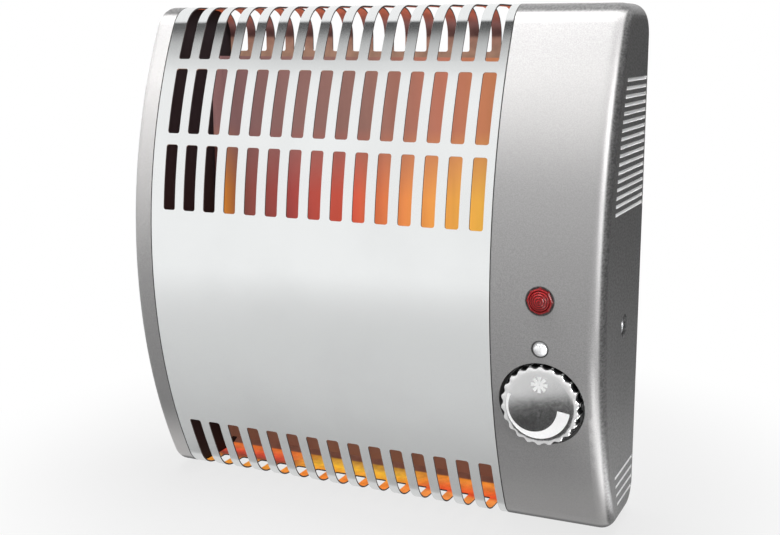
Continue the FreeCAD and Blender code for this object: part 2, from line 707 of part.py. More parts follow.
def make_heat_reflector():
    x0 = LEFT_WALL_X1 + REFLECTOR_GAP
    x1 = RIGHT_WALL_X0 - REFLECTOR_GAP
    lip_y = REFLECTOR_Y - REFLECTOR_FLANGE
    rear_y = REFLECTOR_Y + REFLECTOR
    outline = [
        (x0, lip_y),
        (x0 + REFLECTOR, lip_y),
        (x0 + REFLECTOR, REFLECTOR_Y),
        (x1 - REFLECTOR, REFLECTOR_Y),
        (x1 - REFLECTOR, lip_y),
        (x1, lip_y),
        (x1, rear_y),
        (x0, rear_y),
    ]
    channel = plate([Vector(x, y, REFLECTOR_BOTTOM) for x, y in outline],
                    Vector(0, 0, REFLECTOR_TOP - REFLECTOR_BOTTOM))
    holes = []
    for y, z in rivet_places():
        holes.append(rod_x(RIVET_SHANK + SCREW_CLEAR, x0, x1, y, z))
    return channel.cut(holes)


def rivet(x0, x1, y, z):
    shank = rod_x(RIVET_SHANK, x0, x1, y, z)
    near = rod_x(RIVET_HEAD, x0 - RIVET_HEAD_HEIGHT, x0, y, z)
    far = rod_x(RIVET_HEAD, x1, x1 + RIVET_HEAD_HEIGHT, y, z)
    return shank.fuse([near, far]).removeSplitter()


def make_reflector_rivets():
    grip = REFLECTOR_GAP + REFLECTOR
    rivets = []
    for y, z in rivet_places():
        rivets.append(rivet(LEFT_WALL_X0, LEFT_WALL_X1 + grip, y, z))
        rivets.append(rivet(RIGHT_WALL_X0 - grip, RIGHT_WALL_X1, y, z))
    return Part.makeCompound(rivets)


def make_heating_element():
    """A round tube along two straight legs joined by a half-circle bend."""
    half = ELEMENT_LEG_PITCH / 2
    top, low = LEG_ZS

    def at(x, z):
        return Vector(x, ELEMENT_Y, z)

    path = Part.Wire([
        line(at(TUBE_END_X, top), at(BEND_X, top)),
        arc(at(BEND_X, top), at(BEND_X - half, ELEMENT_Z), at(BEND_X, low)),
        line(at(BEND_X, low), at(TUBE_END_X, low)),
    ])
    ring = Part.Wire(Part.makeCircle(ELEMENT_TUBE, at(TUBE_END_X, top), Vector(1, 0, 0)))
    return path.makePipeShell([ring], True, False)


def leg_holes(radius, x0, x1):
    return [rod_x(radius, x0, x1, ELEMENT_Y, z) for z in LEG_ZS]


def make_element_fins():
    last = RIGHT_WALL_X0 - FIN_RIGHT_INSET
    fins = []
    for index in range(FIN_COUNT):
        x0 = last - index * FIN_PITCH - FIN
        x1 = x0 + FIN
        half_y, half_z = FIN_DEPTH / 2, FIN_HEIGHT / 2
        fin = box(x0, x1, ELEMENT_Y - half_y, ELEMENT_Y + half_y, ELEMENT_Z - half_z, ELEMENT_Z + half_z)
        corners = [e for e in fin.Edges if abs(e.tangentAt(e.FirstParameter).x) > 0.99]
        fin = fin.makeFillet(FIN_CORNER, corners)
        fins.append(fin.cut(leg_holes(ELEMENT_TUBE + FIN_CLEAR, x0, x1)))
    return Part.makeCompound(fins)


def make_element_support():
    """A bent plate that stands on the reflector and carries the element near its bend."""
    x0, x1 = SUPPORT_X, SUPPORT_X + SUPPORT
    low, high = ELEMENT_Z - SUPPORT_HEIGHT / 2, ELEMENT_Z + SUPPORT_HEIGHT / 2
    front = ELEMENT_Y - ELEMENT_TUBE - SUPPORT_LIP
    web = box(x0, x1, front, REFLECTOR_Y, low, high)
    foot = box(x0 - SUPPORT_FOOT, x1, REFLECTOR_Y - SUPPORT, REFLECTOR_Y, low, high)
    return web.fuse(foot).removeSplitter().cut(leg_holes(ELEMENT_TUBE + FIN_CLEAR, x0, x1))


def make_element_bushes():
    bushes = []
    for z in LEG_ZS:
        x1 = RIGHT_WALL_X1 + BUSH_FLANGE_HEIGHT
        sleeve = rod_x(ELEMENT_TUBE + BUSH_WALL, RIGHT_WALL_X0 - BUSH_FLANGE_HEIGHT, x1, ELEMENT_Y, z)
        flange = rod_x(BUSH_FLANGE, RIGHT_WALL_X1, x1, ELEMENT_Y, z)
        bore = rod_x(ELEMENT_TUBE + FIN_CLEAR, RIGHT_WALL_X0 - BUSH_FLANGE_HEIGHT, x1, ELEMENT_Y, z)
        bushes.append(sleeve.fuse(flange).removeSplitter().cut(bore))
    return Part.makeCompound(bushes)


def make_element_terminals():
    studs = []
    for z in LEG_ZS:
        bead_x = TUBE_END_X + STUD_BEAD
        bead = rod_x(ELEMENT_TUBE, TUBE_END_X, bead_x, ELEMENT_Y, z)
        stud = rod_x(STUD, bead_x, bead_x + STUD_LENGTH, ELEMENT_Y, z)
        studs.append(bead.fuse(stud).removeSplitter())
    return Part.makeCompound(studs)


def make_thermostat_bush():
    front = SEAT_Y - THREAD_PROUD
    bore = SHAFT + SHAFT_RUNNING
    profile = [
        (bore, front),
        (THREAD, front),
        (THREAD, COLLAR_Y),
        (BUSH_COLLAR, COLLAR_Y),
        (BUSH_COLLAR, STRAP_Y),
        (THREAD, STRAP_Y),
        (THREAD, STRAP_Y + BUSH_TAIL),
        (bore, STRAP_Y + BUSH_TAIL),
    ]
    return turned_y(profile, CONTROL_X, KNOB_Z)


def make_thermostat_nut():
    blank = hexagon(NUT_ACROSS, Vector(CONTROL_X, SEAT_Y - NUT_HEIGHT, KNOB_Z), Vector(0, NUT_HEIGHT, 0))
    return blank.cut(rod_y(THREAD + INDEX_FIT, SEAT_Y - NUT_HEIGHT, SEAT_Y, CONTROL_X, KNOB_Z))


def make_thermostat_bracket():
    """A steel strap bent to a U, held by the bush's collar, with the base at its ends."""
    half = STRAP_WIDTH / 2
    outline = [
        (-half, STRAP_Y),
        (half, STRAP_Y),
        (half, BASE_Y),
        (half - STRAP, BASE_Y),
        (half - STRAP, STRAP_Y + STRAP),
        (-half + STRAP, STRAP_Y + STRAP),
        (-half + STRAP, BASE_Y),
        (-half, BASE_Y),
    ]
    low = KNOB_Z - STRAP_HEIGHT / 2
    strap = plate([Vector(CONTROL_X + x, y, low) for x, y in outline], Vector(0, 0, STRAP_HEIGHT))
    return strap.cut(rod_y(THREAD + INDEX_FIT, STRAP_Y, STRAP_Y + STRAP, CONTROL_X, KNOB_Z))


def make_thermostat_base():
    half_x, half_z = BASE_WIDTH / 2, BASE_HEIGHT / 2
    block = box(CONTROL_X - half_x, CONTROL_X + half_x, BASE_Y, BASE_REAR_Y, KNOB_Z - half_z, KNOB_Z + half_z)
    uprights = [e for e in block.Edges if abs(e.tangentAt(e.FirstParameter).y) > 0.99]
    block = block.makeFillet(SLOT_CORNER, uprights)
    channel = box(CONTROL_X - BASE_CHANNEL / 2, CONTROL_X + BASE_CHANNEL / 2, BASE_Y,
                  BASE_Y + BASE_CHANNEL_DEPTH, KNOB_Z - half_z, KNOB_Z + half_z)
    return block.cut(channel)


def make_thermostat_shaft():
    front = KNOB_TOP_Y + KNOB_CROWN
    shaft = rod_y(SHAFT, front, SHAFT_END_Y, CONTROL_X, KNOB_Z)
    nose = rod_y(SHAFT_NOSE, SHAFT_END_Y, SHAFT_END_Y + SHAFT_NOSE_LENGTH, CONTROL_X, KNOB_Z)
    flat = box(CONTROL_X - SHAFT, CONTROL_X + SHAFT, front, front + SHAFT_ENTRY,
               KNOB_Z + SHAFT - SHAFT_FLAT, KNOB_Z + SHAFT)
    return shaft.fuse(nose).removeSplitter().cut(flat)


def blade(y, thickness, sign):
    """A flat strip across the thermostat with one end bent back to the base."""
    low, high = KNOB_Z - BLADE_WIDTH / 2, KNOB_Z + BLADE_WIDTH / 2
    tip = CONTROL_X + sign * BLADE_REACH
    heel = CONTROL_X - sign * BLADE_REACH
    strip = box(min(tip, heel), max(tip, heel), y, y + thickness, low, high)
    bent = heel + sign * thickness
    foot = box(min(heel, bent), max(heel, bent), y, BASE_Y, low, high)
    return strip.fuse(foot).removeSplitter()


def make_bimetal_strip():
    return blade(BIMETAL_Y, BIMETAL, 1)


def make_contact_leaf():
    """A short contact spring that stops clear of the bimetal's foot."""
    low, high = KNOB_Z - BLADE_WIDTH / 2, KNOB_Z + BLADE_WIDTH / 2
    right = CONTROL_X + BLADE_REACH
    strip = box(CONTROL_X - CONTACT, right, LEAF_Y, LEAF_Y + LEAF, low, high)
    foot = box(right - LEAF, right, LEAF_Y, BASE_Y, low, high)
    button = rod_y(CONTACT, LEAF_Y - CONTACT_HEIGHT, LEAF_Y, CONTROL_X + CONTACT, KNOB_Z)
    return strip.fuse([foot, button]).removeSplitter()


def fluted_outline(radius, y):
    """A round outline with shallow concave flutes, for a finger grip."""
    pitch = 2 * math.pi / KNOB_FLUTES
    land = pitch * FLUTE_LAND

    def at(turn, reach):
        return Vector(CONTROL_X + reach * math.sin(turn), y, KNOB_Z + reach * math.cos(turn))

    edges = []
    for index in range(KNOB_FLUTES):
        middle = index * pitch
        start, end = middle - land / 2, middle + land / 2
        edges.append(arc(at(start, radius), at(middle, radius), at(end, radius)))
        valley = middle + pitch / 2
        edges.append(arc(at(end, radius), at(valley, radius - FLUTE_DEPTH), at(start + pitch, radius)))
    return Part.Face(Part.Wire(edges))


def make_knob_body():
    skirt_y = KNOB_BASE_Y - KNOB_SKIRT_HEIGHT
    skirt = rod_y(KNOB_SKIRT, skirt_y, KNOB_BASE_Y, CONTROL_X, KNOB_Z)
    grip = fluted_outline(KNOB_RADIUS, KNOB_TOP_Y).extrude(Vector(0, skirt_y - KNOB_TOP_Y, 0))
    crown_y = KNOB_TOP_Y + KNOB_CROWN
    hollow_r = KNOB_RADIUS - FLUTE_DEPTH - KNOB_WALL
    hollow = rod_y(hollow_r, crown_y, KNOB_BASE_Y, CONTROL_X, KNOB_Z)
    hub = rod_y(KNOB_HUB, crown_y - SLIP, crown_y + SHAFT_ENTRY - KNOB_CROWN, CONTROL_X, KNOB_Z)
    bore = rod_y(SHAFT + SHAFT_RUNNING, crown_y, crown_y + SHAFT_ENTRY, CONTROL_X, KNOB_Z)
    body = skirt.fuse(grip).removeSplitter().cut(hollow)
    return body.fuse(hub).removeSplitter().cut(bore)


def make_knob_face():
    face_y = KNOB_TOP_Y - KNOB_FACE
    face = fluted_outline(KNOB_FACE_RADIUS, face_y).extrude(Vector(0, KNOB_FACE, 0))
    ball = (DISH_RADIUS ** 2 + DISH_DEPTH ** 2) / (2 * DISH_DEPTH)
    centre = Vector(CONTROL_X, face_y + DISH_DEPTH - ball, KNOB_Z)
    return face.cut(Part.makeSphere(ball, centre))


def make_lamp_lens():
    """A domed lens with an eight-sided rim that sits on the housing and a hollow stem behind."""
    rim_y = LAMP_SEAT_Y - LAMP_RIM_HEIGHT
    top_y = rim_y - LAMP_DOME_HEIGHT
    bore = LAMP_STEM - LAMP_STEM_WALL

    def at(radius, y):
        return Vector(CONTROL_X + radius, y, LAMP_Z)

    half_up = rim_y - LAMP_DOME_HEIGHT * 0.75
    edges = [
        arc(at(0, top_y), at(LAMP_DOME / 2, half_up), at(LAMP_DOME, rim_y)),
        line(at(LAMP_DOME, rim_y), at(LAMP_DOME, LAMP_SEAT_Y)),
        line(at(LAMP_DOME, LAMP_SEAT_Y), at(LAMP_STEM, LAMP_SEAT_Y)),
        line(at(LAMP_STEM, LAMP_SEAT_Y), at(LAMP_STEM, LAMP_STEM_Y)),
        line(at(LAMP_STEM, LAMP_STEM_Y), at(bore, LAMP_STEM_Y)),
        line(at(bore, LAMP_STEM_Y), at(bore, LAMP_SEAT_Y)),
        line(at(bore, LAMP_SEAT_Y), at(0, LAMP_SEAT_Y)),
        line(at(0, LAMP_SEAT_Y), at(0, top_y)),
    ]
    lens = Part.Face(Part.Wire(edges)).revolve(at(0, 0), Vector(0, 1, 0), 360)
    rim = prism(LAMP_RIM_SIDES, LAMP_RIM, at(0, rim_y), Vector(0, LAMP_RIM_HEIGHT, 0))
    return lens.fuse(rim).removeSplitter()


def make_lamp_clip():
    clip_y = LAMP_WALL_Y + LAMP_FIT
    ring = rod_y(LAMP_CLIP, clip_y, clip_y + LAMP_CLIP_HEIGHT, CONTROL_X, LAMP_Z)
    return ring.cut(rod_y(LAMP_STEM + LAMP_FIT, clip_y, clip_y + LAMP_CLIP_HEIGHT, CONTROL_X, LAMP_Z))


def make_lamp_holder():
    plug = rod_y(LAMP_STEM - LAMP_STEM_WALL - LAMP_FIT, LAMP_STEM_Y - HOLDER_PLUG, LAMP_STEM_Y, CONTROL_X, LAMP_Z)
    flange = rod_y(HOLDER_FLANGE, LAMP_STEM_Y, LAMP_STEM_Y + HOLDER_FLANGE_HEIGHT, CONTROL_X, LAMP_Z)
    return plug.fuse(flange).removeSplitter()


def make_lamp_bulb():
    base_y = LAMP_STEM_Y - HOLDER_PLUG
    glass = rod_y(BULB, base_y - BULB_LENGTH, base_y, CONTROL_X, LAMP_Z)
    tip = [e for e in glass.Edges if abs(e.CenterOfMass.y - (base_y - BULB_LENGTH)) < 1e-6]
    return glass.makeFillet(BULB * 0.7, tip)


def make_index_stud():
    top_y = INDEX_SEAT_Y - INDEX_DOME_HEIGHT
    ball = (INDEX_DOME ** 2 + INDEX_DOME_HEIGHT ** 2) / (2 * INDEX_DOME_HEIGHT)
    dome = Part.makeSphere(ball, Vector(CONTROL_X, top_y + ball, INDEX_Z))
    dome = dome.common(rod_y(ball, top_y - 1, INDEX_SEAT_Y, CONTROL_X, INDEX_Z))
    stem = rod_y(INDEX_STEM, INDEX_SEAT_Y, INDEX_SEAT_Y + INDEX_STEM_LENGTH, CONTROL_X, INDEX_Z)
    return dome.fuse(stem).removeSplitter()


def make_cable_gland():
    low = BOTTOM_Z - GLAND_FLANGE_HEIGHT
    flange = rod_z(GLAND_FLANGE, low, BOTTOM_Z, CONTROL_X, GLAND_Y)
    body = rod_z(GLAND_BODY, low, low + GLAND_LENGTH, CONTROL_X, GLAND_Y)
    bore = rod_z(GLAND_BORE, low, low + GLAND_LENGTH, CONTROL_X, GLAND_Y)
    return flange.fuse(body).removeSplitter().cut(bore)


def make_gland_nut():
    low = BOTTOM_Z + MOULD_WALL + GLAND_PAD
    blank = hexagon(GLAND_NUT_ACROSS, Vector(CONTROL_X, GLAND_Y, low), Vector(0, 0, GLAND_NUT_HEIGHT))
    return blank.cut(rod_z(GLAND_BODY + GLAND_FIT, low, low + GLAND_NUT_HEIGHT, CONTROL_X, GLAND_Y))


def pole_ys():
    first = BLOCK_Y - POLE_PITCH * (POLE_COUNT - 1) / 2
    return [first + index * POLE_PITCH for index in range(POLE_COUNT)]


def make_terminal_block():
    """A row of round barrels on a foot, each with a cross hole for wire and a screw well."""
    low, high = BLOCK_Z - BLOCK_HEIGHT / 2, BLOCK_Z + BLOCK_HEIGHT / 2
    half = POLE_PITCH * POLE_COUNT / 2
    foot = box(RIGHT_WALL_X1, RIGHT_WALL_X1 + BLOCK_FOOT, BLOCK_Y - half, BLOCK_Y + half, low, high)
    axis_x = RIGHT_WALL_X1 + BLOCK_RISE
    block = foot.fuse([rod_z(POLE_BARREL, low, high, axis_x, y) for y in pole_ys()])
    holes = []
    for y in pole_ys():
        holes.append(rod_z(WIRE_ENTRY, low, high, axis_x, y))
        holes.append(rod_x(BLOCK_SCREW + BLOCK_SCREW_FIT, axis_x, axis_x + POLE_BARREL, y, BLOCK_Z))
    return block.removeSplitter().cut(holes)


def make_terminal_screws():
    outer = RIGHT_WALL_X1 + BLOCK_RISE + POLE_BARREL
    inner = outer - BLOCK_SCREW_DEPTH + WIRE_ENTRY
    return Part.makeCompound([rod_x(BLOCK_SCREW, inner, outer, y, BLOCK_Z) for y in pole_ys()])


def make_cutout_strap():
    x0, x1 = RIGHT_WALL_X1, RIGHT_WALL_X1 + EAR
    half = EAR_SPAN / 2 + EAR_WIDTH / 2
    ear = box(x0, x1, CUTOUT_Y - EAR_WIDTH / 2, CUTOUT_Y + EAR_WIDTH / 2, CUTOUT_Z - half, CUTOUT_Z + half)
    ear = ear.fuse(rod_x(CUTOUT_CUP + EAR_FIT + EAR, x0, x1, CUTOUT_Y, CUTOUT_Z)).removeSplitter()
    holes = [rod_x(CUTOUT_CUP + EAR_FIT, x0, x1, CUTOUT_Y, CUTOUT_Z)]
    holes += [rod_x(SMALL_SCREW + SCREW_CLEAR, x0, x1, y, z) for y, z in cutout_screw_places()]
    return ear.cut(holes)


def make_thermal_cutout():
    x0 = RIGHT_WALL_X1
    x1 = x0 + CUTOUT_CUP_HEIGHT
    cup = rod_x(CUTOUT_CUP, x0, x1, CUTOUT_Y, CUTOUT_Z)
    top = rod_x(CUTOUT_TOP, x1, x1 + CUTOUT_TOP_HEIGHT, CUTOUT_Y, CUTOUT_Z)
    return cup.fuse(top).removeSplitter()


def small_screw(seat_x, y, z):
    """A round-head screw with its head on the seat and its tip through the right bulkhead."""
    tip = RIGHT_WALL_X0 - SMALL_SCREW_TIP
    head = rod_x(SMALL_SCREW_HEAD, seat_x, seat_x + SMALL_SCREW_HEAD_HEIGHT, y, z)
    return head.fuse(rod_x(SMALL_SCREW, tip, seat_x, y, z)).removeSplitter()


def make_cutout_screws():
    return Part.makeCompound([small_screw(RIGHT_WALL_X1 + EAR, y, z) for y, z in cutout_screw_places()])


def make_earth_screw():
    return small_screw(RIGHT_WALL_X1, EARTH_Y, EARTH_Z)


def cutout_tab_x():
    return RIGHT_WALL_X1 + CUTOUT_CUP_HEIGHT + CUTOUT_TOP_HEIGHT


def make_spade_tabs():
    """Push-on tabs: two behind the thermostat's base and two on the cut-out."""
    tabs = []
    for sign in (1, -1):
        x = CONTROL_X + sign * TAB_SPREAD
        tabs.append(box(x - TAB / 2, x + TAB / 2, BASE_REAR_Y, BASE_REAR_Y + TAB_LENGTH,
                        KNOB_Z - TAB_WIDTH / 2, KNOB_Z + TAB_WIDTH / 2))
        y = CUTOUT_Y + sign * CUTOUT_TAB_SPREAD
        tabs.append(box(cutout_tab_x(), cutout_tab_x() + TAB_LENGTH, y - TAB / 2, y + TAB / 2,
                        CUTOUT_Z - TAB_WIDTH / 2, CUTOUT_Z + TAB_WIDTH / 2))
    return Part.makeCompound(tabs)


def lead(points):
    """An insulated wire: straight runs joined by arcs."""
    edges = []
    start = points[0]
    for here, corner, there in zip(points, points[1:], points[2:]):
        into = (corner - here).normalize()
        out = (there - corner).normalize()
        turn = math.acos(max(-1.0, min(1.0, into.dot(out))))
        reach = LEAD_BEND * math.tan(turn / 2)
        enter, leave = corner - into * reach, corner + out * reach
        inward = (out - into).normalize()
        to_arc = LEAD_BEND / math.cos(turn / 2) - LEAD_BEND
        edges.append(line(start, enter))
        edges.append(arc(enter, corner + inward * to_arc, leave))
        start = leave
    edges.append(line(start, points[-1]))
    ring = Part.Wire(Part.makeCircle(LEAD, points[0], points[1] - points[0]))
    return Part.Wire(edges).makePipeShell([ring], True, False)


def make_internal_leads():
    gap = LEAD_END_GAP
    tab_y = BASE_REAR_Y + TAB_LENGTH + gap
    tab_x = cutout_tab_x() + TAB_LENGTH + gap
    stud_x = TUBE_END_X + STUD_BEAD + STUD_LENGTH + gap
    entry_z = BLOCK_Z + BLOCK_HEIGHT / 2 - WIRE_ENTRY
    above = BLOCK_Z + BLOCK_HEIGHT / 2 + 2 * LEAD_BEND
    axis_x = RIGHT_WALL_X1 + BLOCK_RISE
    front_pole, middle_pole, rear_pole = pole_ys()
    left_x, right_x = CONTROL_X - TAB_SPREAD, CONTROL_X + TAB_SPREAD
    behind = tab_y + 3 * LEAD_BEND
    top_leg, low_leg = LEG_ZS
    near, far = CUTOUT_Y - CUTOUT_TAB_SPREAD, CUTOUT_Y + CUTOUT_TAB_SPREAD
    lamp_y = LAMP_STEM_Y + HOLDER_FLANGE_HEIGHT
    side_x = SIDE_FACE_X - 3 * LEAD_BEND
    drop_x = tab_x + 2 * LEAD_BEND
    turn_z = CUTOUT_Z - 5 * LEAD_BEND
    return_x = stud_x + 3 * LEAD_BEND
    return_z = top_leg + 3 * LEAD_BEND
    routes = [
        [(left_x, tab_y, KNOB_Z), (left_x, behind, KNOB_Z), (left_x, behind, above),
         (axis_x, rear_pole, above), (axis_x, rear_pole, entry_z)],
        [(right_x, tab_y, KNOB_Z), (right_x, behind, KNOB_Z), (right_x, behind, CUTOUT_Z),
         (right_x, far, CUTOUT_Z), (tab_x, far, CUTOUT_Z)],
        [(stud_x, ELEMENT_Y, low_leg), (left_x, ELEMENT_Y, low_leg), (left_x, middle_pole, above),
         (axis_x, middle_pole, above), (axis_x, middle_pole, entry_z)],
        [(tab_x, near, CUTOUT_Z), (drop_x, near, CUTOUT_Z), (drop_x, near, turn_z),
         (drop_x, behind, turn_z - 3 * LEAD_BEND), (drop_x, behind, return_z),
         (return_x, ELEMENT_Y, top_leg), (stud_x, ELEMENT_Y, top_leg)],
        [(CONTROL_X, lamp_y, LAMP_Z), (CONTROL_X, lamp_y + 3 * LEAD_BEND, LAMP_Z),
         (side_x, lamp_y + 3 * LEAD_BEND, INDEX_Z), (side_x, lamp_y + 3 * LEAD_BEND, above),
         (axis_x, front_pole, above), (axis_x, front_pole, entry_z)],
    ]
    leads = []
    for route in routes:
        leads.append(lead([Vector(*point) for point in route]))
    return Part.makeCompound(leads)


PIECES = {
    "front_grille": make_front_grille,
    "back_panel": make_back_panel,
    "panel_screws": make_panel_screws,
    "left_end_cap": make_left_end_cap,
    "control_housing": make_control_housing,
    "side_screws": make_side_screws,
    "left_bulkhead": make_left_bulkhead,
    "right_bulkhead": make_right_bulkhead,
    "heat_reflector": make_heat_reflector,
    "reflector_rivets": make_reflector_rivets,
    "heating_element": make_heating_element,
    "element_fins": make_element_fins,
    "element_support": make_element_support,
    "element_bushes": make_element_bushes,
    "element_terminals": make_element_terminals,
    "thermostat_bush": make_thermostat_bush,
    "thermostat_nut": make_thermostat_nut,
    "thermostat_bracket": make_thermostat_bracket,
    "thermostat_base": make_thermostat_base,
    "thermostat_shaft": make_thermostat_shaft,
    "bimetal_strip": make_bimetal_strip,
    "contact_leaf": make_contact_leaf,
    "knob_body": make_knob_body,
    "knob_face": make_knob_face,
    "lamp_lens": make_lamp_lens,
    "lamp_clip": make_lamp_clip,
    "lamp_holder": make_lamp_holder,
    "lamp_bulb": make_lamp_bulb,
    "index_stud": make_index_stud,
    "cable_gland": make_cable_gland,
    "gland_nut": make_gland_nut,
    "terminal_block": make_terminal_block,
    "terminal_screws": make_terminal_screws,
    "thermal_cutout": make_thermal_cutout,
    "cutout_strap": make_cutout_strap,
    "cutout_screws": make_cutout_screws,
    "earth_screw": make_earth_screw,
    "spade_tabs": make_spade_tabs,
    "internal_leads": make_internal_leads,
}


def main():
    os.makedirs("parts", exist_ok=True)
    for name, make in PIECES.items():
        make().exportStep("parts/" + name + ".step")


main()
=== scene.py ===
"""Looks of a wall-hung frost heater, laid out as an add-on that dresses the packed model.

All lengths are in metres, in the model's own frame: +X right, +Y to the wall, +Z up.
"""
import json
import math

import bmesh
import bpy
from bpy.props import FloatProperty, FloatVectorProperty, IntProperty, PointerProperty
from mathutils import Matrix, Vector


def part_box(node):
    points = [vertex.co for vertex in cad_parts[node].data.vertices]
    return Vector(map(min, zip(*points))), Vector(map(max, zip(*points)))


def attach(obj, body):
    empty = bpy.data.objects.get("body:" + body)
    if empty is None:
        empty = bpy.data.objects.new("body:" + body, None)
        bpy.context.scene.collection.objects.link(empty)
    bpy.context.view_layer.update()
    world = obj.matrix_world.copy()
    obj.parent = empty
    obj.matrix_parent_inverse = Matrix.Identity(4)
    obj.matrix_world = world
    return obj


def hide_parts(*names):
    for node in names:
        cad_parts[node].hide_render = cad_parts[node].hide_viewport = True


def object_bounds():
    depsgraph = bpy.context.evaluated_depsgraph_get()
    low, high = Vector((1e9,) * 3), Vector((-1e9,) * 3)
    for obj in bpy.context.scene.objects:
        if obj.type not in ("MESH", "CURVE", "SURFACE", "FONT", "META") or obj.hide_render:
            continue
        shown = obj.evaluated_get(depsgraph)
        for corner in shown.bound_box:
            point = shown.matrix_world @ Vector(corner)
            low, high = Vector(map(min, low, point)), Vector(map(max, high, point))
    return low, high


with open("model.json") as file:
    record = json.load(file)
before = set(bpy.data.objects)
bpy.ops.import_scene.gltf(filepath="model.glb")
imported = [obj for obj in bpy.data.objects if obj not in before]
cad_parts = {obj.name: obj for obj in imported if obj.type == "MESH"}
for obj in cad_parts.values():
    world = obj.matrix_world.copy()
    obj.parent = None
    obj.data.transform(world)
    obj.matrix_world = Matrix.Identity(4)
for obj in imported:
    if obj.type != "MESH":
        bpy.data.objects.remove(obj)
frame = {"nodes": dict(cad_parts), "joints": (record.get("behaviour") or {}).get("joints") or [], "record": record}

bl_info = {
    "name": "Frost Heater Looks",
    "version": (1, 0, 0),
    "blender": (4, 5, 0),
    "location": "View3D > Sidebar > Heater",
    "description": "Models and finishes the visible pieces of a wall-hung frost heater",
    "category": "Object",
}

MM = 0.001

# Boxes of the packed nodes that the pieces are fitted to
CAD_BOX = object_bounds()
CAD_LOW, CAD_HIGH = CAD_BOX
GRILLE_LOW, GRILLE_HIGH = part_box("front_grille")
LENS_LOW, LENS_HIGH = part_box("lamp_lens")
FACE_LOW, FACE_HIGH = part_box("knob_face")
GRIP_LOW, GRIP_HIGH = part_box("knob_body")
SCREWS_LOW, SCREWS_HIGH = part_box("side_screws")
PANEL_LOW, PANEL_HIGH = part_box("panel_screws")
STUD_LOW, STUD_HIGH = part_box("index_stud")
REFLECTOR_LOW, REFLECTOR_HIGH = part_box("heat_reflector")
DIAL = Vector(frame["joints"][0]["pos_m"])
LAMP = (LENS_LOW + LENS_HIGH) / 2
STUD = (STUD_LOW + STUD_HIGH) / 2

# Places on the casing that the boxes don't give
LOUVRE_FRONT = 10.5 * MM
LOUVRE_REAR = 9.0 * MM
LOUVRE_BANDS = ((37 * MM, 119 * MM), (-146.2 * MM, -119 * MM))
FLANGE_END = 111.5 * MM
FLANGE_SCREW_Z = 117.5 * MM
LEFT_TIP = SCREWS_LOW.x + 22.0 * MM
RIGHT_TIP = SCREWS_HIGH.x - 72.0 * MM

# The finish of each node, the outer nodes that keep their packed shape, and those modelled anew
NODE_SLOTS = {part["node"]: part["material_slot"] for part in frame["record"]["subparts"]}
MOULDINGS = ("left_end_cap", "control_housing", "back_panel", "cable_gland")
MODELLED = ("front_grille", "knob_body", "knob_face", "index_stud", "lamp_lens", "side_screws",
            "panel_screws")
FINISHES = {}
METAL, PLASTIC = 1.0, 0.0

FULL_TURN = 2 * math.pi
QUARTER_TURN = math.pi / 2
SMOOTH_ANGLE = math.radians(35)
FINE_EDGE = math.radians(50)
MERGE_GAP = 1e-6
FINE_GAP = 1e-7
FLUTE_STEPS = 10
SCREW_TIP = 0.3 * MM
RECESS_WIDTH, RECESS_REACH = 0.22, 0.42


def mm(*lengths):
    """Lengths in metres from millimetres."""
    return tuple(value * MM for value in lengths)


def length(name, description, millimetres):
    """A length that a user may change."""
    return FloatProperty(name=name, description=description, default=millimetres * MM, unit="LENGTH",
                         precision=5)


def count(name, description, default, least):
    """A number of like features."""
    return IntProperty(name=name, description=description, default=default, min=least)


def colour(name, description, default):
    """A linear colour that a user may change."""
    return FloatVectorProperty(name=name, description=description, default=default, subtype="COLOR",
                               size=3, min=0, max=1)


def power(name, description, watts):
    """The power of a lamp."""
    return FloatProperty(name=name, description=description, default=watts, min=0, subtype="POWER")


class CasingSizes(bpy.types.PropertyGroup):
    """Sizes of the bowed sheet and its slots."""
    front_radius: length("Front radius", "Radius of the bowed front", 330)
    front_bend: length("Front bend", "Radius where the front turns over the top", 20)
    rear_bend: length("Rear bend", "Radius where the top turns down the back", 19)
    sheet: length("Sheet", "Thickness of the grille sheet", 1.0)
    burr: length("Edge round", "Rounding of the sheet's cut edges", 0.18)
    slot_pitch: length("Slot pitch", "Distance from slot to slot", 15)
    slot_width: length("Slot width", "Width of a slot", 8.5)
    slot_corner: length("Slot corner", "Corner radius of a slot", 1.5)
    slot_inset: length("Slot inset", "From the sheet's left edge to the first slot's middle", 13.6)
    slot_count: count("Slots", "Slots in a row", 15, 1)
    lower_row_low: length("Lower row, low end", "Height of the lower front row's low end", 29.8)
    lower_row_high: length("Lower row, high end", "Height of the lower front row's high end", 71.2)
    upper_row_low: length("Upper row, low end", "Height of the upper front row's low end", 78.3)
    upper_row_high: length("Upper row, high end", "Height of the upper front row's high end", 118.8)
    top_row_front: length("Top row, front end", "Height where the top slots start", 124.9)
    bottom_row_front: length("Bottom row, front end", "Depth below middle where they start", 117.7)
    bottom_row_rear: length("Bottom row, rear end", "From the front bend to their rear end", 12.0)
    wrap_rear: length("Wrap end", "Height on the back where the top slots end", 129.5)
    screw_hole: length("Screw hole", "Radius of the holes in the rear flanges", 3.35)
    screw_spacing: length("Screw spacing", "Distance between the rear flange screws", 80)


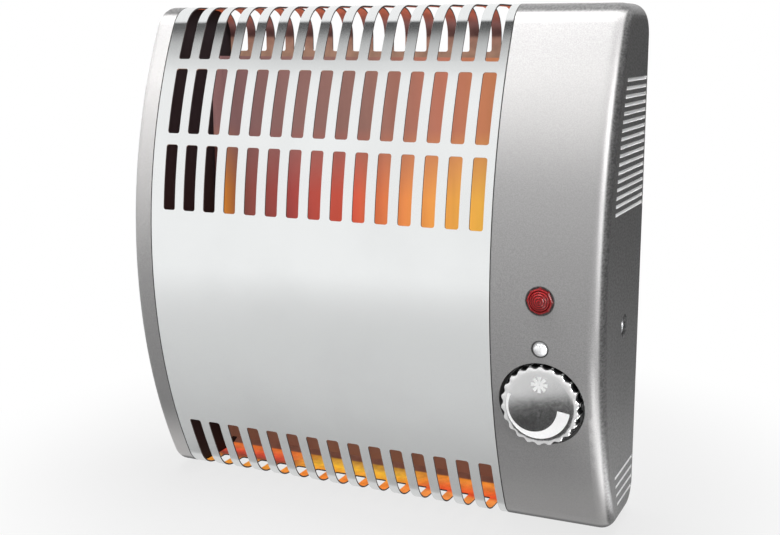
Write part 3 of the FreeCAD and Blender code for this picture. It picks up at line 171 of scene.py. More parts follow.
class ControlSizes(bpy.types.PropertyGroup):
    """Sizes of the dial, its marks, the pilot lens and the screws."""
    flutes: count("Flutes", "Finger flutes round the dial", 22, 6)
    flute_depth: length("Flute depth", "Depth of a finger flute", 1.25)
    grip_radius: length("Grip radius", "Radius over the flutes' ridges", 23.8)
    grip_wall: length("Grip wall", "Wall of the hollow grip behind the flutes", 2.6)
    crown: length("Crown", "Thickness of the grip's closed front", 2.2)
    hub_radius: length("Hub radius", "Radius of the hub inside the grip", 6.5)
    hub_length: length("Hub length", "Length of the hub inside the grip", 3.9)
    hub_bore: length("Hub bore", "Radius of the hub's bore", 3.05)
    skirt_radius: length("Skirt radius", "Radius of the grip's round foot", 24.7)
    skirt_height: length("Skirt height", "Height of the grip's round foot", 2.9)
    face_radius: length("Face radius", "Radius over the silver face's scallops", 23.5)
    dish_radius: length("Dish radius", "Radius of the dished middle", 20.4)
    dish_depth: length("Dish depth", "Depth of the dished middle", 1.1)
    print_height: length("Print height", "Thickness of the printed marks", 0.05)
    star_rise: length("Frost mark height", "From the dial's middle up to the frost mark", 12.5)
    star_shift: length("Frost mark shift", "From the dial's middle left to the frost mark", 0.6)
    star_radius: length("Frost mark radius", "Reach of the frost mark's arms", 4.9)
    star_arms: count("Frost mark arms", "Arms of the frost mark", 8, 4)
    wedge_outer: length("Wedge outer radius", "Outer radius of the heat wedge", 19.2)
    wedge_inner: length("Wedge inner radius", "Inner radius of the heat wedge", 14.7)
    wedge_place_x: length("Wedge across", "Outer circle's shift to the left", 1.1)
    wedge_place_z: length("Wedge down", "Outer circle's shift down", 0.4)
    wedge_shift_x: length("Wedge shift across", "Inner circle's further shift to the left", 3.2)
    wedge_shift_z: length("Wedge shift down", "Inner circle's further shift down", 0.8)
    stud_radius: length("Stud radius", "Radius of the index stud's dome", 4.4)
    stud_height: length("Stud height", "Height of the index stud's dome", 2.0)
    stud_stem: length("Stud stem", "Radius of the stem behind the index stud", 2.0)
    lens_radius: length("Lens radius", "Corner radius of the pilot lens", 7.9)
    lens_sides: count("Lens sides", "Flats round the pilot lens", 8, 4)
    stem_radius: length("Lens stem", "Radius of the stem behind the lens", 5.4)
    stem_length: length("Lens stem length", "Length of the stem behind the lens", 9.0)
    side_head: length("Side screw head", "Radius of a side screw's head", 5.6)
    side_head_height: length("Side screw head height", "Height of a side screw's head", 1.8)
    side_shank: length("Side screw shank", "Radius of a side screw's shank", 2.0)
    side_recess: length("Side recess", "Depth of the recess round a side screw", 3.0)
    panel_head: length("Panel screw head", "Radius of a panel screw's head", 3.2)
    panel_shank: length("Panel screw shank", "Radius of a panel screw's shank", 1.5)


class FinishColours(bpy.types.PropertyGroup):
    """Colours of the finishes."""
    satin: colour("Satin sheet", "The grille's outer finish", (0.85, 0.865, 0.865))
    # Near black: the bare cut edges, and painted shade along the slots' rims.
    edge_and_shade: colour("Punched edge", "The bare edges of the grille's slots", (0.045, 0.04, 0.04))
    silver: colour("Silver lacquer", "The end mouldings", (0.30, 0.296, 0.296))
    black_sheet: colour("Black sheet", "The inner end walls", (0.012, 0.008, 0.010))
    zinc: colour("Zinc plate", "Screws, rivets and brackets", (0.58, 0.59, 0.60))
    galvanised: colour("Galvanised sheet", "The back panel", (0.50, 0.51, 0.52))
    brass: colour("Brass", "Shaft, bush and terminals", (0.68, 0.48, 0.20))
    spring: colour("Spring strip", "Bimetal and contact leaf", (0.62, 0.38, 0.24))
    sheath: colour("Element sheath", "The oxidised heater tube", (0.16, 0.11, 0.085))
    fins: colour("Fin sheet", "The element's plate fins", (0.55, 0.52, 0.50))
    ceramic: colour("Ceramic", "Bushes and thermostat base", (0.80, 0.77, 0.71))
    knob_black: colour("Dial black", "The dial's grip", (0.010, 0.010, 0.011))
    knob_silver: colour("Dial silver", "The dial's face", (0.90, 0.90, 0.90))
    print_white: colour("White print", "Marks on the dial", (0.95, 0.95, 0.95))
    lens_red: colour("Lens red", "The pilot lens", (0.27, 0.008, 0.010))
    chrome: colour("Chrome", "The index stud", (0.86, 0.86, 0.87))
    nylon_black: colour("Black nylon", "Gland, holder and cut-out", (0.014, 0.014, 0.015))
    nylon_white: colour("White nylon", "The terminal block", (0.76, 0.75, 0.71))
    lead: colour("Lead insulation", "Insulation of the inner leads", (0.34, 0.05, 0.02))
    floor: colour("Floor", "The studio floor", (0.12, 0.12, 0.12))


class StudioLight(bpy.types.PropertyGroup):
    """Lamps and the camera's place."""
    key: power("Key", "Power of the front lamp", 12.0)
    top: power("Top", "Power of the overhead lamp", 38.0)
    edge: power("Edge", "Power of the lamp mirrored along the corner", 34.0)
    corner: power("Corner", "Power of the low lamp mirrored in the lower corner", 0.45)
    strip: power("Strip", "Power of the side lamp", 7.0)
    ambient: FloatProperty(name="Ambient", description="Level of the soft light all round", default=0.40,
                           min=0)
    camera_place: FloatVectorProperty(name="Camera", description="Place of the camera", subtype="TRANSLATION",
                                      default=(0.3100, -0.7142, 0.1380))
    camera_aim: FloatVectorProperty(name="Aim", description="Direction of the camera's view",
                                    subtype="DIRECTION", default=(-0.3952, 0.8981, -0.1930))
    lens: FloatProperty(name="Lens", description="Focal length on a 36 mm sensor", default=53.8,
                        unit="CAMERA")
    shift: FloatProperty(name="Shift", description="Sideways shift of the picture", default=-0.0203)


def casing():
    return bpy.context.scene.heater_casing


def controls():
    return bpy.context.scene.heater_controls


def colours():
    return bpy.context.scene.heater_colours


def studio():
    return bpy.context.scene.heater_studio


# Shading


class Value:
    """A number or colour that flows through a shader tree."""

    def __init__(self, graph, socket):
        self.graph = graph
        self.socket = socket

    def math(self, operation, other=0.0):
        node = self.graph.add("ShaderNodeMath")
        node.operation = operation
        self.graph.feed(node.inputs[0], self)
        self.graph.feed(node.inputs[1], other)
        return Value(self.graph, node.outputs[0])

    def __add__(self, other):
        return self.math("ADD", other)

    def __sub__(self, other):
        return self.math("SUBTRACT", other)

    def __mul__(self, other):
        return self.math("MULTIPLY", other)

    def __or__(self, other):
        """The larger of two values, so either of two masks."""
        return self.math("MAXIMUM", other)

    def remap(self, low, high, to_low=0.0, to_high=1.0, kind="SMOOTHSTEP"):
        """The value carried from one range to another, held at both ends."""
        node = self.graph.add("ShaderNodeMapRange", Value=self, From_Min=low, From_Max=high, To_Min=to_low,
                              To_Max=to_high)
        node.interpolation_type = kind
        return Value(self.graph, node.outputs["Result"])

    def spread(self, low, high):
        """The span that a noise mostly keeps to, carried to a range."""
        return self.remap(0.3, 0.7, low, high)


class Graph:
    """The nodes of one shader tree."""

    def __init__(self, tree):
        self.tree = tree

    def feed(self, socket, value):
        """Links a socket to a value, or sets it to a number, a vector or a colour."""
        if isinstance(value, Value):
            self.tree.links.new(value.socket, socket)
        elif socket.type == "RGBA":
            socket.default_value = (*value, 1)
        else:
            socket.default_value = value

    def feed_all(self, node, inputs):
        for name, value in inputs.items():
            self.feed(node.inputs[name.replace("_", " ")], value)

    def add(self, kind, **inputs):
        node = self.tree.nodes.new(kind)
        self.feed_all(node, inputs)
        return node

    def value(self, kind, output, **inputs):
        """One output of a new node."""
        return Value(self, self.add(kind, **inputs).outputs[output])

    def split(self, kind, **inputs):
        """All outputs of a new node."""
        return [Value(self, socket) for socket in self.add(kind, **inputs).outputs]

    def place(self):
        """Where a point is, in the piece's own coordinates."""
        return self.value("ShaderNodeTexCoord", "Object")

    def coordinates(self):
        return self.split("ShaderNodeSeparateXYZ", Vector=self.place())

    def noise(self, scale, detail=3.0, stretch=(1, 1, 1)):
        """Noise on the piece's own coordinates, stretched along an axis where asked."""
        mapped = self.value("ShaderNodeMapping", "Vector", Vector=self.place(), Scale=stretch)
        return self.value("ShaderNodeTexNoise", "Fac", Vector=mapped, Scale=scale, Detail=detail)

    def blend(self, factor, first, second, mode="MIX", kind="RGBA"):
        """From the first colour at 0 to the second at 1."""
        node = self.add("ShaderNodeMix")
        node.data_type = kind
        node.blend_type = mode
        self.feed_all(node, {"Factor": factor, "A": first, "B": second})
        return Value(self, node.outputs["Result"])

    def dim(self, shade, share):
        """A colour times a number."""
        grey = self.value("ShaderNodeCombineColor", "Color", Red=share, Green=share, Blue=share)
        return self.blend(1.0, shade, grey, "MULTIPLY")

    def ramp(self, factor, stops):
        """A colour ramp through (position, colour) stops."""
        node = self.add("ShaderNodeValToRGB", Fac=factor)
        elements = node.color_ramp.elements
        while len(elements) < len(stops):
            elements.new(0.5)
        for element, (position, shade) in zip(elements, stops):
            element.position = position
            element.color = (*shade, 1)
        return Value(self, node.outputs["Color"])

    def rays(self, first, *others):
        """1 for rays of the named kinds, 0 for the rest."""
        outputs = self.add("ShaderNodeLightPath").outputs
        found = Value(self, outputs[f"Is {first} Ray"])
        for name in others:
            found = found | Value(self, outputs[f"Is {name} Ray"])
        return found


class Finish(Graph):
    """A material and its main shader."""

    def __init__(self, name, shade, metallic, roughness):
        self.material = bpy.data.materials.new(name)
        self.material.use_nodes = True
        self.material.diffuse_color = (*shade, 1)
        super().__init__(self.material.node_tree)
        self.shader = self.tree.nodes["Principled BSDF"]
        self.set(Base_Color=shade, Metallic=metallic, Roughness=roughness)

    def set(self, **inputs):
        self.feed_all(self.shader, inputs)

    def emboss(self, height, depth, strength=1.0):
        """Relief of a depth in metres."""
        bump = self.value("ShaderNodeBump", "Normal", Height=height, Distance=depth, Strength=strength)
        self.set(Normal=bump)

    def grain(self, shade, grain, patch, rough, relief, stretch=(1, 1, 1), contrast=0.12):
        """Fine grain, larger patches, uneven gloss and relief; returns the colour.

        grain and patch are noise scales per metre, rough a range of roughness and relief a depth in metres.
        """
        fine = self.noise(grain, 2.0, stretch)
        broad = self.noise(patch, 4.0)
        grainy = self.blend(fine.spread(0.0, 1.0), scaled(shade, 1 - contrast), scaled(shade, 1 + contrast))
        patched = self.blend(broad.remap(0.35, 0.75, 0.0, 0.5), grainy, scaled(shade, 0.9))
        uneven = fine * 0.5 + broad * 0.5
        self.set(Base_Color=patched, Roughness=uneven.spread(*rough))
        self.emboss(fine, relief)
        return patched


def distance(first, second):
    """Length of the diagonal of two sides, so the distance from an axis."""
    return (first * first + second * second).math("SQRT")


def scaled(shade, factor):
    return tuple(min(1.0, part * factor) for part in shade)


def plain_finish(name, shade, metallic, rough, grain, patch, relief, stretch=(1, 1, 1), contrast=0.12,
                 **sockets):
    """One colour all over, with grain, patches, uneven gloss and relief."""
    made = Finish(name, shade, metallic, sum(rough) / 2)
    made.grain(shade, grain, patch, rough, relief, stretch, contrast)
    made.set(**sockets)
    return made.material


def painted_glow_inside():
    """The grille sheet's inner face, with a painted glow and painted shade that stand in for the light of the hot
    element.
    """
    made = Finish("painted_glow_inside", (0.10, 0.05, 0.04), 0.2, 0.5)
    x, y, z = made.coordinates()
    # Painted glow from the element, with a narrow band of painted shade near the top.
    upper = made.ramp(z.remap(GRILLE_LOW.z, GRILLE_HIGH.z, kind="LINEAR"), [
        (0.000, (0.15, 0.06, 0.040)),
        (0.500, (0.10, 0.04, 0.03)),
        (0.905, (0.32, 0.19, 0.13)),
        (0.936, (0.27, 0.14, 0.10)),
        (0.942, (0.02, 0.008, 0.010)),
        (0.952, (0.05, 0.020, 0.020)),
        (0.966, (0.19, 0.085, 0.08)),
        (1.000, (0.52, 0.10, 0.035)),
    ])
    pan_depth = mm(-14, -42)
    waver = made.noise(70).spread(*mm(-2, 2))
    ahead = (y + waver).remap(*pan_depth, kind="LINEAR")
    left = made.ramp(ahead, [
        (0.00, (0.80, 0.17, 0.03)),
        (0.35, (0.70, 0.06, 0.03)),
        (0.65, (0.24, 0.05, 0.03)),
        (0.90, (0.90, 0.33, 0.03)),
    ])
    middle = made.ramp(ahead, [
        (0.00, (0.55, 0.27, 0.03)),
        (0.35, (0.95, 0.52, 0.03)),
        (0.85, (0.95, 0.26, 0.03)),
    ])
    right = made.ramp(ahead, [
        (0.00, (0.90, 0.27, 0.03)),
        (0.70, (0.85, 0.07, 0.02)),
        (0.92, (0.95, 0.30, 0.06)),
    ])
    left_to_middle, middle_to_right = mm(-90, -60), mm(-5, 35)
    pan = made.blend(x.remap(*left_to_middle), left, middle)
    pan = made.blend(x.remap(*middle_to_right), pan, right)
    low = z.remap(GRILLE_LOW.z + 9 * MM, GRILLE_LOW.z + 6 * MM)
    pan_rear = mm(-13, -11.5)
    glow = made.blend(low * y.remap(*pan_rear, 1, 0), upper, pan)
    mottled = made.dim(glow, made.noise(160).spread(0.8, 1.1))
    made.set(Emission_Color=mottled, Emission_Strength=0.85, Roughness=made.noise(900).spread(0.4, 0.6))
    return made.material


def painted_end_shade(z):
    """Painted shade on the rounded top and bottom edges of the mouldings and on most of their flat end faces."""
    level = z.math("ABSOLUTE")
    edge = level.remap(CAD_HIGH.z - 7.0 * MM, CAD_HIGH.z - 3.5 * MM)
    return edge * level.remap(CAD_HIGH.z - 0.8 * MM, CAD_HIGH.z - 0.15 * MM, 1.0, 0.8)


def vent_walls(x, y, z):
    """The walls of the side vents, behind the flank's skin, where the lacquer gets painted light."""
    bow = casing().front_radius
    soft, band_soft = mm(0.5, 0.2)
    reach = distance(y - (bow + GRILLE_LOW.y), z)
    behind_bow = reach.remap(bow - LOUVRE_FRONT, bow - LOUVRE_FRONT + soft, 1, 0)
    before_back = y.remap(-LOUVRE_REAR, soft - LOUVRE_REAR, 1, 0)
    upper, lower = (z.remap(low, low + band_soft) * z.remap(high - band_soft, high, 1, 0)
                    for low, high in LOUVRE_BANDS)
    inside = x.remap(CAD_HIGH.x - 0.12 * MM, CAD_HIGH.x - 0.04 * MM, 1, 0)
    return behind_bow * (upper | lower) * before_back * inside


def painted_light_share(x, z):
    """Share of painted light on the lacquer: on the upper bow and at the foot, most on the left cap."""
    cap_to_housing = mm(-20, 20)
    cap = x.remap(*cap_to_housing, 0.24, 0.0) * z.remap(*mm(-30, 60))
    housing = x.remap(*cap_to_housing, 0.0, 0.17) * z.remap(*mm(50, 100))
    calm = z.remap(*mm(112, 142), 1.0, 0.35)
    foot = x.remap(*cap_to_housing, 0.72, 0.2) * z.remap(*mm(-105, -145))
    return (cap + housing) * calm + foot


def painted_gap_shadows(x, y, z):
    """Painted shadow rings round the index stud and the pilot lens, on the front only."""
    face = y.remap(GRILLE_LOW.y + 15 * MM, GRILLE_LOW.y + 16 * MM, 1, 0)
    stud, lens = (distance(x - middle.x, z - middle.z).remap(radius, radius + 0.4 * MM, 1, 0) * face
                  for middle, radius in ((STUD, 5.0 * MM), (LAMP, 8.5 * MM)))
    return stud | lens


def silver_lacquer():
    """Silver lacquer with fine flake on the bow, painted shade with a moulded grain on the flanks, and pale vent
    walls as painted light.
    """
    shade = colours().silver
    made = Finish("silver_lacquer", shade, 0.2, 0.42)
    base = made.grain(shade, 1500, 9, (0.36, 0.46), 14e-6)
    x, y, z = made.coordinates()
    flank = x.remap(CAD_HIGH.x - 3.6 * MM, CAD_HIGH.x - 2.0 * MM)
    # Painted shade on the far flank, lighter than on the near one.
    far_flank = x.remap(CAD_LOW.x + 1.0 * MM, CAD_LOW.x + 0.4 * MM, 0.0, 0.6)
    # Painted shadow lines along the joints with the grille.
    seam = (x.remap(GRILLE_LOW.x - 0.8 * MM, GRILLE_LOW.x - 0.6 * MM)
            * x.remap(GRILLE_HIGH.x + 0.6 * MM, GRILLE_HIGH.x + 0.8 * MM, 1, 0))
    ends = painted_end_shade(z)
    # Painted light on the vent walls, so that they stand out pale from the flank's painted shade.
    pale = vent_walls(x, y, z) * flank
    # Where painted shade goes: the flanks and end faces less the vent walls, the far flank, the seams and the
    # rings round stud and lens.
    side = ((flank | ends) - pale) | far_flank | seam | painted_gap_shadows(x, y, z)
    grain = made.noise(800, 3.0, (1, 0.5, 1)).remap(0.32, 0.68, 0.35, 1.6)
    shade_black, deep_shade_black = (0.02, 0.02, 0.02), (0.005, 0.005, 0.005)
    painted_light_white, vent_light_white = (0.8, 0.78, 0.77), (0.8, 0.8, 0.8)
    # The painted shade colour: mostly near black, with the moulded grain in it.
    dark = made.blend(0.8, made.dim(base, grain), shade_black)
    # Painted light on the upper bow, the foot and the left cap.
    lighter = made.blend(painted_light_share(x, z), base, painted_light_white)
    lit_and_shaded = made.blend(side, lighter, dark)
    # Deeper painted shade on the end faces.
    shaded = made.blend(ends * 0.4, lit_and_shaded, deep_shade_black)
    made.set(Base_Color=made.blend(pale, shaded, vent_light_white))
    return made.material


def painted_glow_reflector():
    """Heat tint under a painted glow from the element: mauve above, red to yellow lower right, painted shade at
    the foot and behind.
    """
    made = Finish("painted_glow_reflector", (0.10, 0.045, 0.04), 0.3, 0.45)
    x, y, z = made.coordinates()
    across = x.remap(REFLECTOR_LOW.x, REFLECTOR_HIGH.x, kind="LINEAR")
    upper = made.ramp(across, [
        (0.05, (0.21, 0.115, 0.115)),
        (0.50, (0.285, 0.15, 0.12)),
        (0.75, (0.51, 0.175, 0.105)),
        (0.95, (0.62, 0.23, 0.08)),
    ])
    lower = made.ramp(across, [
        (0.00, (0.62, 0.22, 0.03)),
        (0.07, (0.25, 0.075, 0.06)),
        (0.24, (0.37, 0.055, 0.050)),
        (0.45, (0.74, 0.10, 0.055)),
        (0.62, (0.92, 0.30, 0.08)),
        (0.90, (1.00, 0.55, 0.07)),
    ])
    rising = z.remap(*mm(34, 80), kind="LINEAR")
    foot = z.remap(REFLECTOR_LOW.z + 8 * MM, REFLECTOR_LOW.z + 40 * MM)
    # Painted shade at the foot and on the unlit parts behind the element.
    foot_shade, unlit = (0.125, 0.055, 0.033), (0.008, 0.005, 0.006)
    glow = made.blend(foot, foot_shade, made.blend(rising, lower, upper))
    off_edge = x.remap(REFLECTOR_LOW.x + 0.9 * MM, REFLECTOR_LOW.x + 1.5 * MM)
    off_flange = y.remap(REFLECTOR_LOW.y + 6 * MM, REFLECTOR_LOW.y + 7 * MM)
    above = z.remap(*mm(66, 70))
    front = y.remap(REFLECTOR_HIGH.y - 0.4 * MM, REFLECTOR_HIGH.y - 0.15 * MM, 1, 0)
    lit = (off_edge | off_flange | above) * front
    shaded = made.blend(lit, unlit, glow)
    streaked = made.dim(shaded, made.noise(60, 3.0, (1, 1, 0.12)).spread(0.86, 1.08))
    made.set(Emission_Color=streaked, Emission_Strength=0.8, Roughness=made.noise(500).spread(0.35, 0.55))
    made.emboss(made.noise(40, 2.0), 0.2 * MM, 0.6)
    return made.material


def red_lens():
    """Clear red moulding with painted shade in rings between its facets, faintly lit from behind."""
    shade = colours().lens_red
    made = Finish("red_lens", shade, PLASTIC, 0.34)
    base = made.grain(shade, 900, 160, (0.3, 0.38), 4e-6, contrast=0.2)
    x, _, z = made.coordinates()
    ridge_radius, ridge_pitch = mm(5.3, 1.4)
    away = distance(x - LAMP.x, z - LAMP.z) - ridge_radius
    ridge = (away * (FULL_TURN / ridge_pitch)).math("COSINE").remap(-1.0, 1.0)
    # The rings darken the valleys between the facets as painted shade.
    made.set(Base_Color=made.blend(ridge, scaled(shade, 0.3), base), Specular_IOR_Level=0.3,
             Emission_Color=(0.55, 0.01, 0.012), Emission_Strength=0.06)
    return made.material


def spangled_sheet():
    """Galvanised sheet with the flat crystals of its zinc."""
    shade = colours().galvanised
    made = Finish("galvanised_sheet", shade, METAL, 0.4)
    per_metre = 120.0
    warp = made.value("ShaderNodeTexNoise", "Color", Vector=made.place(), Scale=per_metre, Detail=2.0)
    bent = made.blend(0.006, made.place(), warp, kind="VECTOR")
    crystals = made.value("ShaderNodeTexVoronoi", "Color", Vector=bent, Scale=per_metre)
    tone, gloss, _ = made.split("ShaderNodeSeparateColor", Color=crystals)
    tint = made.blend(tone, scaled(shade, 0.78), scaled(shade, 1.15))
    worn = made.blend(made.noise(14).remap(0.4, 0.75, 0.0, 0.35), tint, scaled(shade, 0.7))
    made.set(Base_Color=worn, Roughness=gloss.remap(0.0, 1.0, 0.3, 0.5))
    made.emboss(made.noise(500), 8e-6)
    return made.material


def bulb_glass():
    """Thin glass with a warm glow from inside."""
    made = Finish("bulb_glass", (0.9, 0.5, 0.35), PLASTIC, 0.05)
    made.set(Transmission_Weight=0.7, Emission_Color=(1.0, 0.25, 0.08), Emission_Strength=0.6,
             Roughness=made.noise(500).spread(0.03, 0.1))
    return made.material


def make_finishes():
    """One material per record slot, by slot name."""
    tint = colours()
    plain = plain_finish
    return {
        "grille_sheet": plain("satin_sheet", tint.satin, METAL, (0.13, 0.17), 1400, 14, 0.6e-6,
                              contrast=0.01),
        "silver_moulding": silver_lacquer(),
        "reflector_sheet": painted_glow_reflector(),
        "red_lens": red_lens(),
        "bulb_glass": bulb_glass(),
        "back_sheet": spangled_sheet(),
        "black_sheet": plain("black_sheet", tint.black_sheet, PLASTIC, (0.5, 0.7), 900, 20, 30e-6,
                             Specular_IOR_Level=0.2),
        "zinc_steel": plain("zinc_plate", tint.zinc, METAL, (0.22, 0.4), 800, 90, 12e-6),
        "element_sheath": plain("oxidised_sheath", tint.sheath, METAL, (0.4, 0.65), 600, 40, 30e-6,
                                contrast=0.3),
        "fin_sheet": plain("fin_sheet", tint.fins, METAL, (0.3, 0.5), 500, 30, 20e-6),
        "white_ceramic": plain("ceramic", tint.ceramic, PLASTIC, (0.55, 0.75), 900, 60, 40e-6),
        "turned_brass": plain("turned_brass", tint.brass, METAL, (0.2, 0.35), 900, 80, 10e-6),
        "spring_strip": plain("spring_strip", tint.spring, METAL, (0.25, 0.4), 500, 60, 10e-6, (0.1, 1, 1)),
        "knob_black": plain("dial_black", tint.knob_black, PLASTIC, (0.18, 0.28), 1100, 60, 8e-6),
        "knob_silver": plain("dial_silver", tint.knob_silver, METAL, (0.13, 0.2), 700, 40, 4e-6,
                             contrast=0.03),
        "stud_chrome": plain("stud_chrome", tint.chrome, 0.3, (0.42, 0.5), 900, 90, 0.5e-6, contrast=0.03),
        "black_nylon": plain("black_nylon", tint.nylon_black, PLASTIC, (0.4, 0.55), 900, 60, 30e-6),
        "white_nylon": plain("white_nylon", tint.nylon_white, PLASTIC, (0.4, 0.55), 900, 60, 20e-6),
        "lead_insulation": plain("lead_insulation", tint.lead, PLASTIC, (0.45, 0.6), 800, 60, 20e-6),
    }


def finish(slot):
    """The material of a record slot, made on first use."""
    if not FINISHES:
        FINISHES.update((key, material.name) for key, material in make_finishes().items())
    return bpy.data.materials[FINISHES[slot]]


def dress_node(node):
    """Puts its slot's finish on a packed node."""
    slots = frame["nodes"][node].material_slots
    if not slots:
        raise RuntimeError("node without a material slot: " + node)
    for slot in slots:
        slot.material = finish(NODE_SLOTS[node])


# Shapes


def new_object(bm, name, materials):
    """A linked object that takes over a finished bmesh."""
    mesh = bpy.data.meshes.new(name)
    bm.to_mesh(mesh)
    bm.free()
    for material in materials:
        mesh.materials.append(material)
    thing = bpy.data.objects.new(name, mesh)
    bpy.context.scene.collection.objects.link(thing)
    return thing


def finish_piece(bm, name, body, materials, nodes=(), smooth=SMOOTH_ANGLE):
    """Turns a bmesh into a riding piece with soft shading and sharp edges past an angle."""
    piece = new_object(bm, name, materials)
    piece.data.shade_smooth()
    piece.data.set_sharp_from_angle(angle=smooth)
    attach(piece, body)
    if nodes:
        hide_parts(*nodes)
    return piece


def close_up(bm):
    """Merges doubled points and points the faces outwards."""
    bmesh.ops.remove_doubles(bm, verts=bm.verts, dist=MERGE_GAP)
    bmesh.ops.recalc_face_normals(bm, faces=bm.faces)


def settle(bm):
    """Drops edges without length and points the faces outwards."""
    bmesh.ops.dissolve_degenerate(bm, edges=bm.edges, dist=FINE_GAP)
    bmesh.ops.recalc_face_normals(bm, faces=bm.faces)


def spun(profile, steps, gap):
    """The surface that (radius, height) points sweep round Z."""
    bm = bmesh.new()
    points = [bm.verts.new((radius, 0, height)) for radius, height in profile]
    edges = [bm.edges.new(pair) for pair in zip(points, points[1:])]
    bmesh.ops.spin(bm, geom=points + edges, cent=(0, 0, 0), axis=(0, 0, 1), angle=FULL_TURN, steps=steps,
                   use_merge=True)
    bmesh.ops.remove_doubles(bm, verts=bm.verts, dist=gap)
    return bm


def turned(profile, steps):
    """A closed solid of revolution about Z, from axis to axis."""
    bm = spun(profile, steps, MERGE_GAP)
    settle(bm)
    return bm


def soften(bm, width, segments=2):
    """Rounds the sharp edges."""
    edges = [e for e in bm.edges if len(e.link_faces) == 2 and e.calc_face_angle(0) > FINE_EDGE]
    bmesh.ops.bevel(bm, geom=edges, offset=width, offset_type="OFFSET", segments=segments, profile=0.5,
                    affect="EDGES", clamp_overlap=True, material=-1)


def sink(bm, faces, depth):
    """Extrudes faces straight down and returns the lowered points."""
    made = bmesh.ops.extrude_face_region(bm, geom=faces)["geom"]
    lowered = [item for item in made if isinstance(item, bmesh.types.BMVert)]
    bmesh.ops.translate(bm, vec=(0, 0, -depth), verts=lowered)
    return lowered


def face_front(bm, centre):
    """Turns a shape built up along Z to look out along -Y, with its foot at a point."""
    turn = Matrix.Translation(centre) @ Matrix.Rotation(QUARTER_TURN, 4, "X")
    bmesh.ops.transform(bm, matrix=turn, verts=bm.verts)


def flute(angle, number):
    """How deep a flute is at an angle from the top, from 0 on a ridge to 1 in the middle."""
    ridge_share = 0.28
    along = (angle * number / FULL_TURN) % 1.0
    across = (along - ridge_share / 2) / (1 - ridge_share)
    if across <= 0 or across >= 1:
        return 0.0
    return 1 - (2 * across - 1) ** 2


def cut_flutes(bm, radius, sizes):
    """Draws the outer points of a turned shape in along the flutes."""
    for v in bm.verts:
        reach = math.hypot(v.co.x, v.co.y)
        if abs(reach - radius) < 0.05 * MM:
            angle = math.atan2(v.co.x, v.co.y)
            share = 1 - sizes.flute_depth * flute(angle, sizes.flutes) / reach
            v.co.x *= share
            v.co.y *= share


class CasingPath:
    """The D-shaped side outline, measured along the sheet from the middle of the front."""

    def __init__(self, sizes):
        self.front = sizes.front_radius
        self.bend = sizes.front_bend
        self.rear = sizes.rear_bend
        self.top = (GRILLE_HIGH.z - GRILLE_LOW.z) / 2
        self.centre_y = self.front + GRILLE_LOW.y
        self.bend_z = self.top - self.bend
        self.bend_y = self.centre_y - math.sqrt((self.front - self.bend) ** 2 - self.bend_z ** 2)
        self.lean = math.atan2(self.bend_z, self.centre_y - self.bend_y)
        self.to_bend = self.front * self.lean
        self.to_top = self.to_bend + self.bend * (QUARTER_TURN - self.lean)
        self.to_rear = self.to_top - self.rear - self.bend_y
        self.to_flange = self.to_rear + self.rear * QUARTER_TURN

    def along_front(self, z):
        return self.front * math.asin(z / self.front)

    def along_flange(self, z):
        return self.to_flange + self.top - self.rear - z

    def place(self, along):
        """Depth and height of a point on the sheet's outer face."""
        run = abs(along)
        if run <= self.to_bend:
            turn = run / self.front
            y, z = self.centre_y - self.front * math.cos(turn), self.front * math.sin(turn)
        elif run <= self.to_top:
            turn = self.lean + (run - self.to_bend) / self.bend
            y, z = self.bend_y - self.bend * math.cos(turn), self.bend_z + self.bend * math.sin(turn)
        elif run <= self.to_rear:
            y, z = self.bend_y + run - self.to_top, self.top
        elif run <= self.to_flange:
            turn = (run - self.to_rear) / self.rear
            y = -self.rear + self.rear * math.sin(turn)
            z = self.top - self.rear + self.rear * math.cos(turn)
        else:
            y, z = 0.0, self.top - self.rear - (run - self.to_flange)
        return y, math.copysign(z, along)

    def folds(self):
        """Where the flat sheet is creased so that it can follow the outline."""
        bow_step, bend_step = mm(7, 2.4)
        spans = [(0.0, self.to_bend, bow_step), (self.to_bend, self.to_top, bend_step),
                 (self.to_rear, self.to_flange, bend_step)]
        lines = []
        for start, end, step in spans:
            number = max(1, round((end - start) / step))
            lines += [start + (end - start) * index / number for index in range(number + 1)]
        return sorted(set(lines + [-line for line in lines]))


def cut(bm, across=None, along=None, where=None):
    """Cuts a flat sheet on a line across (x) or along (y), in the faces that where() picks."""
    faces = [f for f in bm.faces if where is None or where(f)]
    edges = {e for f in faces for e in f.edges}
    points = {v for f in faces for v in f.verts}
    spot = (across, 0, 0) if along is None else (0, along, 0)
    normal = (1, 0, 0) if along is None else (0, 1, 0)
    bmesh.ops.bisect_plane(bm, geom=[*points, *edges, *faces], dist=FINE_GAP, plane_co=spot, plane_no=normal)


def punch(bm, windows, corner):
    """Rounds the corners of the windows in a flat sheet that is cut on their edges, and opens them."""

    def inside(face, margin):
        middle = face.calc_center_median()
        for x, half, low, high in windows:
            if abs(middle.x - x) < half - margin and low + margin < middle.y < high - margin:
                return True
        return False

    corners = {v for f in bm.faces if inside(f, 0) for v in f.verts}
    bmesh.ops.bevel(bm, geom=list(corners), offset=corner, offset_type="OFFSET", segments=4, profile=0.5,
                    affect="VERTICES", clamp_overlap=False, material=-1)
    past_rounding = corner * 0.7
    holes = [f for f in bm.faces if inside(f, past_rounding)]
    bmesh.ops.delete(bm, geom=holes, context="FACES")


